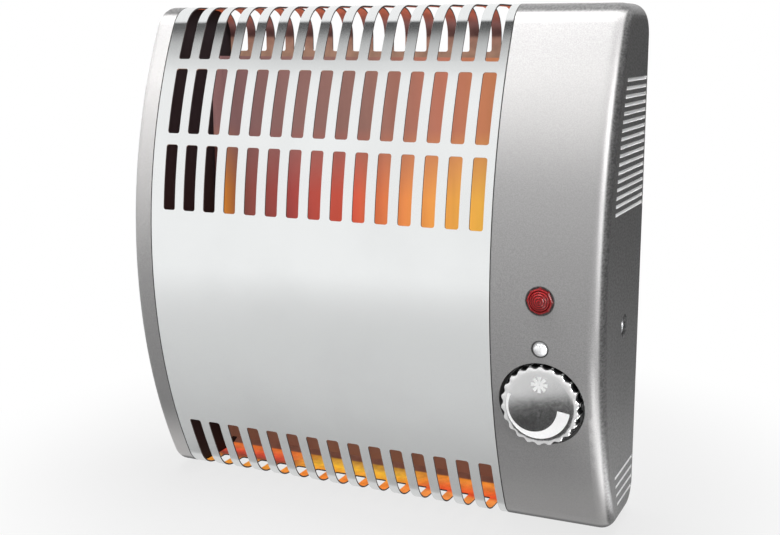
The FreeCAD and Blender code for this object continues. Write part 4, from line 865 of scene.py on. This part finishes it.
def slotted_sheet(sizes, path):
    """The grille's flat blank with all its slots, and how far along they reach."""
    bm = bmesh.new()
    end = path.along_flange(FLANGE_END)
    bmesh.ops.create_grid(bm, x_segments=1, y_segments=1, size=0.5)
    bmesh.ops.scale(bm, vec=(GRILLE_HIGH.x - GRILLE_LOW.x, 2 * end, 1), verts=bm.verts)
    bmesh.ops.translate(bm, vec=((GRILLE_LOW.x + GRILLE_HIGH.x) / 2, 0, 0), verts=bm.verts)
    wrap = path.along_flange(sizes.wrap_rear)
    rows = [
        (path.along_front(sizes.lower_row_low), path.along_front(sizes.lower_row_high)),
        (path.along_front(sizes.upper_row_low), path.along_front(sizes.upper_row_high)),
        (path.along_front(sizes.top_row_front), wrap),
        (-path.to_top - sizes.bottom_row_rear, -path.along_front(sizes.bottom_row_front)),
    ]
    slotted = wrap + 2 * sizes.slot_corner
    for line in [slotted, -slotted] + [line for row in rows for line in row]:
        cut(bm, along=line)
    half = sizes.slot_width / 2
    middles = [GRILLE_LOW.x + sizes.slot_inset + sizes.slot_pitch * i for i in range(sizes.slot_count)]
    for x in middles:
        for edge in (x - half, x + half):
            cut(bm, across=edge, where=lambda f: abs(f.calc_center_median().y) < slotted)
    punch(bm, [(x, half, low, high) for x in middles for low, high in rows], sizes.slot_corner)
    return bm, slotted


def flange_screw_places(sizes):
    middle = (GRILLE_LOW.x + GRILLE_HIGH.x) / 2
    return [middle + sizes.screw_spacing * step for step in (-1, 0, 1)]


def punch_flanges(bm, sizes, path, slotted):
    """Opens the round screw holes in both rear flanges of the flat blank."""
    reach = sizes.screw_hole
    near = 0.9 * reach
    almost_round = 0.995 * reach
    row = path.along_flange(FLANGE_SCREW_Z)
    windows = []
    for sign in (1, -1):
        middle = sign * row
        for line in (middle - reach, middle + reach):
            cut(bm, along=line, where=lambda f: sign * f.calc_center_median().y > slotted)
        for x in flange_screw_places(sizes):
            for edge in (x - reach, x + reach):
                cut(bm, across=edge, where=lambda f: abs(f.calc_center_median().y - middle) < near)
            windows.append((x, reach, middle - reach, middle + reach))
    punch(bm, windows, almost_round)


def dish_height(reach, sizes, thickness):
    """Height of the dished face at a distance from its middle."""
    ball = (sizes.dish_radius ** 2 + sizes.dish_depth ** 2) / (2 * sizes.dish_depth)
    return thickness - sizes.dish_depth + ball - math.sqrt(ball ** 2 - min(reach, sizes.dish_radius) ** 2)


def cross_recess(bm, width, reach, depth, height):
    """A cross-shaped driver recess in a flat top at a height; returns the recess's rim edges."""
    half = width / 2
    taper = 0.6
    cells = bmesh.ops.create_grid(bm, x_segments=3, y_segments=3, size=reach)["verts"]
    for v in cells:
        for axis in (0, 1):
            v.co[axis] = math.copysign(reach if abs(v.co[axis]) > 0.5 * reach else half, v.co[axis])
        v.co.z = height
    faces = {f for v in cells for f in v.link_faces}
    middles = {f: f.calc_center_median() for f in faces}
    corners = [f for f, middle in middles.items() if min(abs(middle.x), abs(middle.y)) > half / 2]
    bmesh.ops.delete(bm, geom=corners, context="FACES")
    cross = [f for f in faces if f.is_valid]
    rim = [e for f in cross for e in f.edges if len(e.link_faces) == 1]
    low = sink(bm, cross, depth)
    bmesh.ops.scale(bm, vec=(taper, taper, 1), verts=low)
    bmesh.ops.delete(bm, geom=[f for f in cross if f.is_valid], context="FACES_ONLY")
    return [e for e in rim if e.is_valid]


def screw(profile, steps, head, depth):
    """A turned screw whose flat top, the last point of the profile, holds a cross recess."""
    bm = spun(profile, steps, FINE_GAP)
    top = profile[-1][1]
    ring = [e for e in bm.edges if len(e.link_faces) == 1 and abs(e.verts[0].co.z - top) < FINE_GAP]
    rim = cross_recess(bm, RECESS_WIDTH * head, RECESS_REACH * head, depth, top)
    bmesh.ops.triangle_fill(bm, edges=ring + rim, use_beauty=True, normal=(0, 0, 1))
    settle(bm)
    return bm


def add_copies(bm, shape, places):
    """Adds a copy of a shape at each place."""
    mesh = bpy.data.meshes.new("shape")
    shape.to_mesh(mesh)
    shape.free()
    for place in places:
        before = len(bm.verts)
        bm.from_mesh(mesh)
        bm.verts.ensure_lookup_table()
        bmesh.ops.transform(bm, matrix=place, verts=bm.verts[before:])
    bpy.data.meshes.remove(mesh)


# Operators


class HeaterOperator:
    """What all the heater's operators share."""
    bl_options = {"REGISTER"}


class HEATER_OT_insides(HeaterOperator, bpy.types.Operator):
    """Finish every inner piece that keeps its packed shape"""
    bl_idname = "heater.insides"
    bl_label = "Inner pieces"

    def execute(self, context):
        for node in NODE_SLOTS:
            if node not in MODELLED + MOULDINGS:
                dress_node(node)
        return {"FINISHED"}


class HEATER_OT_mouldings(HeaterOperator, bpy.types.Operator):
    """Finish the end cap, the control housing, the back panel and the gland"""
    bl_idname = "heater.mouldings"
    bl_label = "Mouldings and back"

    def execute(self, context):
        for node in MOULDINGS:
            dress_node(node)
        return {"FINISHED"}


class HEATER_OT_grille(HeaterOperator, bpy.types.Operator):
    """Fold the slotted sheet into the bowed grille"""
    bl_idname = "heater.grille"
    bl_label = "Grille"

    def execute(self, context):
        sizes = casing()
        path = CasingPath(sizes)
        bm, slotted = slotted_sheet(sizes, path)
        punch_flanges(bm, sizes, path, slotted)
        for line in path.folds():
            cut(bm, along=line)
        for v in bm.verts:
            y, z = path.place(v.co.y)
            v.co = (v.co.x, y, z)
        close_up(bm)
        front = min(bm.faces, key=lambda f: f.calc_center_median().y)
        if front.normal.y > 0:
            bmesh.ops.reverse_faces(bm, faces=bm.faces)
        bmesh.ops.solidify(bm, geom=bm.faces[:], thickness=sizes.sheet)
        self.sort_faces(bm)
        soften(bm, sizes.burr)
        # The cut edges are painted near black: bare edges, and painted shade along the slots' rims.
        edge = plain_finish("cut_edge_and_shade", colours().edge_and_shade, 0.4, (0.45, 0.6), 900, 60, 10e-6)
        sleeve = finish_piece(bm, "grille_sleeve", "casing", [finish("grille_sheet"), painted_glow_inside(), edge],
                              ["front_grille"])
        sleeve.modifiers.new("even_normals", "WEIGHTED_NORMAL").keep_sharp = True
        return {"FINISHED"}

    def sort_faces(self, bm):
        """Gives the outer face, the inner face and the cut edges a finish each."""
        mid_depth = 48 * MM
        least_lean = 0.3
        for face in bm.faces:
            middle = face.calc_center_median()
            outward = Vector((0, middle.y + mid_depth, middle.z))
            lean = outward.normalized().dot(face.normal)
            face.material_index = 0 if lean > least_lean else 1 if lean < -least_lean else 2


class HEATER_OT_dial_grip(HeaterOperator, bpy.types.Operator):
    """Turn the dial's hollow grip and cut its finger flutes"""
    bl_idname = "heater.dial_grip"
    bl_label = "Dial grip"

    def execute(self, context):
        sizes = controls()
        height = GRIP_HIGH.y - GRIP_LOW.y
        crown = height - sizes.crown
        hub = crown - sizes.hub_length
        wall = sizes.grip_radius - sizes.flute_depth - sizes.grip_wall
        profile = [
            (0, crown), (sizes.hub_bore, crown), (sizes.hub_bore, hub), (sizes.hub_radius, hub),
            (sizes.hub_radius, crown), (wall, crown), (wall, 0), (sizes.skirt_radius, 0),
            (sizes.skirt_radius, sizes.skirt_height), (sizes.grip_radius, sizes.skirt_height),
            (sizes.grip_radius, height), (0, height),
        ]
        bm = turned(profile, sizes.flutes * FLUTE_STEPS)
        cut_flutes(bm, sizes.grip_radius, sizes)
        soften(bm, 0.22 * MM)
        self.silver_ridges(bm, sizes)
        face_front(bm, (DIAL.x, GRIP_HIGH.y, DIAL.z))
        finish_piece(bm, "dial_grip", "dial", [finish("knob_black"), finish("knob_silver")], ["knob_body"])
        return {"FINISHED"}

    def silver_ridges(self, bm, sizes):
        """Gives the narrow ridges between the flutes the face's silver."""
        ridge = sizes.grip_radius - 0.15 * sizes.flute_depth
        foot = sizes.skirt_height + 0.1 * MM
        for face in bm.faces:
            middle = face.calc_center_median()
            if math.hypot(middle.x, middle.y) > ridge and middle.z > foot:
                face.material_index = 1


class HEATER_OT_dial_face(HeaterOperator, bpy.types.Operator):
    """Turn the dial's scalloped silver face with its shallow dish"""
    bl_idname = "heater.dial_face"
    bl_label = "Dial face"

    def execute(self, context):
        sizes = controls()
        thickness = FACE_HIGH.y - FACE_LOW.y
        rings = 12
        reaches = [sizes.dish_radius * (1 - index / rings) for index in range(rings + 1)]
        profile = [(0, 0), (sizes.face_radius, 0), (sizes.face_radius, thickness)]
        profile += [(reach, dish_height(reach, sizes, thickness)) for reach in reaches]
        bm = turned(profile, sizes.flutes * FLUTE_STEPS)
        cut_flutes(bm, sizes.face_radius, sizes)
        soften(bm, 0.4 * MM, 3)
        face_front(bm, (DIAL.x, FACE_HIGH.y, DIAL.z))
        finish_piece(bm, "dial_face", "dial", [finish("knob_silver")], ["knob_face"],
                     math.radians(25))
        return {"FINISHED"}


class HEATER_OT_dial_marks(HeaterOperator, bpy.types.Operator):
    """Print the frost mark and the heat wedge on the dial's dish"""
    bl_idname = "heater.dial_marks"
    bl_label = "Dial marks"

    def execute(self, context):
        sizes = controls()
        bm = bmesh.new()
        self.frost_mark(bm, sizes)
        self.heat_wedge(bm, sizes)
        thickness = FACE_HIGH.y - FACE_LOW.y
        close_up(bm)
        for face in bm.faces:
            if face.normal.z < 0:
                face.normal_flip()
        for v in bm.verts:
            v.co.z = dish_height(math.hypot(v.co.x, v.co.y), sizes, thickness) + sizes.print_height
        sink(bm, bm.faces[:], 1.6 * sizes.print_height)
        bmesh.ops.recalc_face_normals(bm, faces=bm.faces)
        face_front(bm, (DIAL.x, FACE_HIGH.y, DIAL.z))
        white = plain_finish("white_print", colours().print_white, PLASTIC, (0.35, 0.5), 900, 120, 4e-6,
                             contrast=0.02)
        finish_piece(bm, "dial_marks", "dial", [white])
        return {"FINISHED"}

    def frost_mark(self, bm, sizes):
        """Arms that widen outwards, spun round the mark's middle."""
        near, far = 0.3 * MM, sizes.star_radius
        inner_width, widening = 1.15, 1.0
        start = bmesh.ops.create_grid(bm, x_segments=1, y_segments=3, size=0.5)["verts"]
        for v in start:
            share = v.co.y + 0.5
            width = (inner_width + widening * share) * MM
            v.co = (v.co.x * width, near + (far - near) * share, 0)
        faces = list({f for v in start for f in v.link_faces})
        bmesh.ops.spin(bm, geom=faces, cent=(0, 0, 0), axis=(0, 0, 1), angle=FULL_TURN, steps=sizes.star_arms,
                       use_duplicate=True)
        bmesh.ops.delete(bm, geom=faces, context="FACES")
        bmesh.ops.translate(bm, vec=(-sizes.star_shift, sizes.star_rise, 0), verts=bm.verts)

    def heat_wedge(self, bm, sizes):
        """A strip between an outer circle and a smaller one that is off centre."""
        start, end = math.radians(161), math.radians(353)
        place = Vector((-sizes.wedge_place_x, -sizes.wedge_place_z))
        shift = Vector((-sizes.wedge_shift_x, -sizes.wedge_shift_z))
        strip = bmesh.ops.create_grid(bm, x_segments=64, y_segments=2, size=0.5)["verts"]
        for v in strip:
            angle = start + (end - start) * (v.co.x + 0.5)
            ray = Vector((math.cos(angle), math.sin(angle)))
            lean = ray.dot(shift)
            inner = lean + math.sqrt(lean ** 2 - shift.length_squared + sizes.wedge_inner ** 2)
            reach = inner + (sizes.wedge_outer - inner) * (v.co.y + 0.5)
            v.co = (place.x + ray.x * reach, place.y + ray.y * reach, 0)


class HEATER_OT_index_dome(HeaterOperator, bpy.types.Operator):
    """Turn the domed index stud above the dial"""
    bl_idname = "heater.index_dome"
    bl_label = "Index dome"

    def execute(self, context):
        sizes = controls()
        seat = STUD_LOW.y + sizes.stud_height
        tail = seat - STUD_HIGH.y
        edge = 0.25 * MM
        ball = (sizes.stud_radius ** 2 + sizes.stud_height ** 2) / (2 * sizes.stud_height)
        rings = 10
        rim = sizes.stud_radius - 0.2 * edge
        reaches = [rim * (1 - index / rings) for index in range(rings + 1)]
        stem = sizes.stud_stem
        profile = [(0, tail), (0.8 * stem, tail), (stem, tail + edge), (stem, 0), (sizes.stud_radius, 0)]
        ball_middle = sizes.stud_height - ball
        profile += [(reach, ball_middle + math.sqrt(ball ** 2 - reach ** 2)) for reach in reaches]
        bm = turned(profile, 64)
        face_front(bm, (STUD.x, seat, STUD.z))
        finish_piece(bm, "index_dome", "casing", [finish("stud_chrome")], ["index_stud"])
        return {"FINISHED"}


class HEATER_OT_pilot_lens(HeaterOperator, bpy.types.Operator):
    """Turn the pilot lens, with an eight-sided rim and rings of cut facets"""
    bl_idname = "heater.pilot_lens"
    bl_label = "Pilot lens"

    # Radius in millimetres and share of the lens's height of each ring of facets, from the rim to the tip
    facets = ((5.95, 0.40), (5.3, 0.66), (4.6, 0.60), (3.9, 0.83), (3.2, 0.77), (2.5, 0.94),
              (1.7, 0.89), (0.9, 1.0))
    tip_share = 0.985
    rim_share = 0.53

    def execute(self, context):
        sizes = controls()
        seat = LENS_HIGH.y - sizes.stem_length
        height = seat - LENS_LOW.y
        steps = 2 * sizes.lens_sides
        bm = turned(self.profile(sizes, height), steps)
        self.cut_flats(bm, sizes, steps)
        half_step = Matrix.Rotation(math.pi / steps, 4, "Z")
        for radius, _ in self.facets[1::2]:
            ring = [v for v in bm.verts if abs(math.hypot(v.co.x, v.co.y) - radius * MM) < 0.02 * MM
                    and v.co.z > 0]
            bmesh.ops.transform(bm, matrix=half_step, verts=ring)
        bmesh.ops.triangulate(bm, faces=bm.faces)
        bmesh.ops.recalc_face_normals(bm, faces=bm.faces)
        face_front(bm, (LAMP.x, seat, LAMP.z))
        finish_piece(bm, "pilot_lens", "casing", [finish("red_lens")], ["lamp_lens"],
                     math.radians(4))
        return {"FINISHED"}

    def profile(self, sizes, height):
        """The hollow stem, the rim with its slope, and the stepped rings."""
        rim, stem = sizes.lens_radius, sizes.stem_radius
        bore = stem - 1.0 * MM
        slope, shelf = mm(0.7, 1.5)
        rim_height = self.rim_share * height
        points = [
            (0, 0), (bore, 0), (bore, -sizes.stem_length), (stem, -sizes.stem_length), (stem, 0), (rim, 0),
            (rim, rim_height * 0.7), (rim - slope, rim_height), (rim - shelf, rim_height),
        ]
        points += [(radius * MM, share * height) for radius, share in self.facets]
        return points + [(0, self.tip_share * height)]

    def cut_flats(self, bm, sizes, steps):
        """Draws every second point of the rim in to the flats between its corners."""
        flat = math.cos(math.pi / sizes.lens_sides)
        for v in bm.verts:
            reach = math.hypot(v.co.x, v.co.y)
            index = round(math.atan2(v.co.y, v.co.x) * steps / FULL_TURN)
            if v.co.z >= 0 and reach > sizes.lens_radius - 1.0 * MM and index % 2:
                v.co.x *= flat
                v.co.y *= flat


class HEATER_OT_screws(HeaterOperator, bpy.types.Operator):
    """Make the cross-recessed side screws and panel screws"""
    bl_idname = "heater.screws"
    bl_label = "Screws"

    def execute(self, context):
        self.side_screws(controls())
        self.panel_screws(controls(), casing())
        return {"FINISHED"}

    def side_screws(self, sizes):
        """Pan heads in the round recesses at both ends."""
        tall, head, shank = sizes.side_head_height, sizes.side_head, sizes.side_shank
        point = 2 * MM
        middle = (SCREWS_LOW + SCREWS_HIGH) / 2
        left_seat = CAD_LOW.x + sizes.side_recess
        right_seat = CAD_HIGH.x - sizes.side_recess
        bm = bmesh.new()
        for sign, seat, tip in ((-1, left_seat, LEFT_TIP), (1, right_seat, RIGHT_TIP)):
            run = abs(seat - tip)
            profile = [
                (0, -run), (SCREW_TIP, -run), (shank, -run + point), (shank, 0), (head, 0),
                (head, 0.3 * tall), (0.94 * head, 0.62 * tall), (0.75 * head, 0.9 * tall),
                (0.55 * head, tall),
            ]
            shape = screw(profile, 40, head, 0.66 * tall)
            turn = Matrix.Rotation(sign * QUARTER_TURN, 4, "Y") @ Matrix.Rotation(0.35, 4, "Z")
            add_copies(bm, shape, [Matrix.Translation((seat, middle.y, middle.z)) @ turn])
        finish_piece(bm, "side_screw_set", "casing", [finish("zinc_steel")], ["side_screws"])

    def panel_screws(self, sizes, sheet):
        """Countersunk heads, flush with the rear flanges."""
        run = PANEL_HIGH.y - PANEL_LOW.y
        head, shank = sizes.panel_head, sizes.panel_shank
        point, rim, sunk, depth = mm(1.5, 0.1, 0.02, 0.9)
        profile = [(0, -run), (SCREW_TIP, -run), (shank, -run + point), (shank, -sheet.sheet), (head, -rim),
                   (head, -sunk)]
        shape = screw(profile, 32, head, depth)
        back = Matrix.Rotation(-QUARTER_TURN, 4, "X")
        places = []
        for sign in (1, -1):
            for index, x in enumerate(flange_screw_places(sheet)):
                spin = Matrix.Rotation(0.5 * index + sign, 4, "Z")
                places.append(Matrix.Translation((x, PANEL_HIGH.y, sign * FLANGE_SCREW_Z)) @ back @ spin)
        bm = bmesh.new()
        add_copies(bm, shape, places)
        finish_piece(bm, "panel_screw_set", "casing", [finish("zinc_steel")], ["panel_screws"])


class HEATER_OT_stage(HeaterOperator, bpy.types.Operator):
    """Set the floor, the lamps, the soft light all round and the camera"""
    bl_idname = "heater.stage"
    bl_label = "Stage"

    def execute(self, context):
        settings = studio()
        self.floor()
        self.world(settings)
        self.dim_card(settings)
        self.lamps(settings)
        self.camera(settings)
        context.scene.view_settings.view_transform = "Standard"
        return {"FINISHED"}

    def floor(self):
        """A wide pale floor under the casing, which fades to white away from the object."""
        half_width = 6.0
        bm = bmesh.new()
        bmesh.ops.create_grid(bm, x_segments=8, y_segments=8, size=half_width)
        bmesh.ops.translate(bm, vec=(0, 0, CAD_LOW.z - 0.3 * MM), verts=bm.verts)
        made = Finish("floor_paper", colours().floor, PLASTIC, 0.9)
        x, y, _ = made.coordinates()
        reach = distance(x, y)
        shown = made.rays("Camera", "Transmission") * reach.remap(*mm(160, 360), 0.78, 1.0)
        away = reach.remap(*mm(200, 840), 0.36, 1.0)
        under = y.remap(*mm(-72, -62), 0.0, 0.68)
        before_wall = y.remap(*mm(50, 300), 1.0, 0.0)
        mirrored = made.rays("Glossy") * ((away | under) * before_wall)
        bounced = made.rays("Diffuse")
        level = bounced.remap(0.0, 1.0, 1.0, 0.5, "LINEAR")
        white = made.add("ShaderNodeEmission", Color=(1, 1, 1), Strength=level)
        mixed = made.add("ShaderNodeMixShader", Fac=shown | mirrored | bounced)
        made.tree.links.new(made.shader.outputs["BSDF"], mixed.inputs[1])
        made.tree.links.new(white.outputs["Emission"], mixed.inputs[2])
        made.tree.links.new(mixed.outputs["Shader"], made.tree.nodes["Material Output"].inputs["Surface"])
        floor = new_object(bm, "studio_floor", [made.material])

    def dim_card(self, settings):
        """A low dark card in front of the dial, seen only in mirrors: the horizon in the dial's dish."""
        width, height, ahead, lift = mm(34, 22, 50, 2.2)
        middle = Vector((DIAL.x, FACE_LOW.y, DIAL.z))
        ray = (middle - Vector(settings.camera_place)).normalized()
        ray.y = -ray.y
        centre = middle + ray * ahead + Vector((0, 0, lift - height / 2))
        heading = Matrix.Rotation(math.atan2(ray.y, ray.x) + QUARTER_TURN, 4, "Z")
        upright = Matrix.Rotation(QUARTER_TURN, 4, "X")
        bm = bmesh.new()
        bmesh.ops.create_grid(bm, x_segments=2, y_segments=1, size=0.5)
        bmesh.ops.scale(bm, vec=(width, height, 1), verts=bm.verts)
        bmesh.ops.transform(bm, matrix=Matrix.Translation(centre) @ heading @ upright, verts=bm.verts)
        card = new_object(bm, "dim_card", [Finish("card_black", (0.03, 0.03, 0.03), PLASTIC, 0.9).material])
        card.visible_camera = False
        card.visible_diffuse = False
        card.visible_transmission = False
        card.visible_shadow = False

    def world(self, settings):
        """White where it is seen, with a dark belt and side where it is mirrored, and soft grey light."""
        world = bpy.data.worlds.new("studio_world")
        world.use_nodes = True
        graph = Graph(world.node_tree)
        direction = graph.value("ShaderNodeTexCoord", "Generated")
        x, y, z = graph.split("ShaderNodeSeparateXYZ", Vector=direction)
        pitch = z.math("ARCTAN2", y * -1.0)
        spans = ((38, 50), (47, 52), (56, 66))
        dimming, darkening, clearing = (tuple(map(math.radians, span)) for span in spans)
        dusk = pitch.remap(*dimming, 0.0, 0.52, "LINEAR")
        belt = (dusk | pitch.remap(*darkening)) * pitch.remap(*clearing, 1, 0)
        side_x, side_y = 0.9, 0.43
        sideways = x * side_x + y * side_y
        beside = sideways.remap(0.35, 0.6) * z.remap(0.1, 0.3, 1.0, 0.0)
        mirrored = graph.rays("Glossy") * (belt | beside).remap(0.0, 1.0, 1.0, 0.03, "LINEAR")
        seen = graph.rays("Camera", "Transmission") | mirrored
        soft = graph.rays("Camera", "Glossy", "Transmission").remap(0.0, 1.0, settings.ambient, 0.0)
        graph.feed_all(graph.tree.nodes["Background"], {"Strength": seen + soft, "Color": (1, 1, 1)})
        bpy.context.scene.world = world

    def lamps(self, settings):
        """Soft lamps in front and overhead, and lamps at the side that draw the bright corner."""
        key = self.lamp("key_lamp", settings.key, (1.6, 1.2), (-0.5, -1.4, 1.5), (0, -0.05, 0.02))
        top = self.lamp("top_lamp", settings.top, (0.9, 0.45), (-0.03, -0.02, 0.8), (0, -0.06, 0.1))
        for lamp in (key, top):
            lamp.visible_glossy = False
        beside, right_corner = (0.98, -0.60, -0.12), (0.15, -0.09, -0.02)
        self.lamp("strip_lamp", settings.strip, (0.2, 1.0), beside, right_corner)
        edge = self.lamp("edge_lamp", settings.edge, (0.2, 1.6), beside, right_corner)
        on_floor = (0.215, -0.14, CAD_LOW.z + 2 * MM)
        corner = self.lamp("corner_lamp", settings.corner, (0.07, 0.24), on_floor, (*on_floor[:2], 1))
        for lamp in (edge, corner):
            lamp.visible_diffuse = False

    def lamp(self, name, watts, size, place, aim):
        """A soft rectangular lamp that looks at a point."""
        data = bpy.data.lights.new(name, "AREA")
        data.shape = "RECTANGLE"
        data.size, data.size_y = size
        data.energy = watts
        lamp = self.aimed(name, data, place, Vector(aim) - Vector(place))
        lamp.visible_camera = False
        return lamp

    def camera(self, settings):
        """The photograph's viewpoint."""
        data = bpy.data.cameras.new("photo_camera")
        data.lens = settings.lens
        data.sensor_width = 36.0
        data.shift_x = settings.shift
        data.clip_start = 0.01
        camera = self.aimed("photo_camera", data, settings.camera_place, Vector(settings.camera_aim))
        bpy.context.scene.camera = camera

    def aimed(self, name, data, place, direction):
        """A linked object at a place that looks in a direction."""
        thing = bpy.data.objects.new(name, data)
        thing.location = place
        thing.rotation_mode = "QUATERNION"
        thing.rotation_quaternion = direction.to_track_quat("-Z", "Y")
        bpy.context.scene.collection.objects.link(thing)
        return thing


OPERATORS = (
    HEATER_OT_insides,
    HEATER_OT_mouldings,
    HEATER_OT_grille,
    HEATER_OT_dial_grip,
    HEATER_OT_dial_face,
    HEATER_OT_dial_marks,
    HEATER_OT_index_dome,
    HEATER_OT_pilot_lens,
    HEATER_OT_screws,
    HEATER_OT_stage,
)
SETTINGS = {
    "heater_casing": CasingSizes,
    "heater_controls": ControlSizes,
    "heater_colours": FinishColours,
    "heater_studio": StudioLight,
}


class HEATER_PT_sidebar(bpy.types.Panel):
    """Lists the heater's settings and operators"""
    bl_idname = "HEATER_PT_sidebar"
    bl_label = "Frost Heater"
    bl_space_type = "VIEW_3D"
    bl_region_type = "UI"
    bl_category = "Heater"

    def draw(self, context):
        for operator in OPERATORS:
            self.layout.operator(operator.bl_idname)
        for name, group in SETTINGS.items():
            box = self.layout.box()
            box.label(text=group.__doc__)
            for key in group.__annotations__:
                box.prop(getattr(context.scene, name), key)


def register():
    for group in SETTINGS.values():
        bpy.utils.register_class(group)
    for operator in OPERATORS:
        bpy.utils.register_class(operator)
    bpy.utils.register_class(HEATER_PT_sidebar)
    for name, group in SETTINGS.items():
        setattr(bpy.types.Scene, name, PointerProperty(type=group))


def unregister():
    for name in SETTINGS:
        delattr(bpy.types.Scene, name)
    bpy.utils.unregister_class(HEATER_PT_sidebar)
    for kind in (*OPERATORS, *SETTINGS.values()):
        bpy.utils.unregister_class(kind)


def main():
    register()
    for operator in OPERATORS:
        group, name = operator.bl_idname.split(".")
        getattr(getattr(bpy.ops, group), name)()
    bpy.context.view_layer.update()


if __name__ == "__main__":
    main()
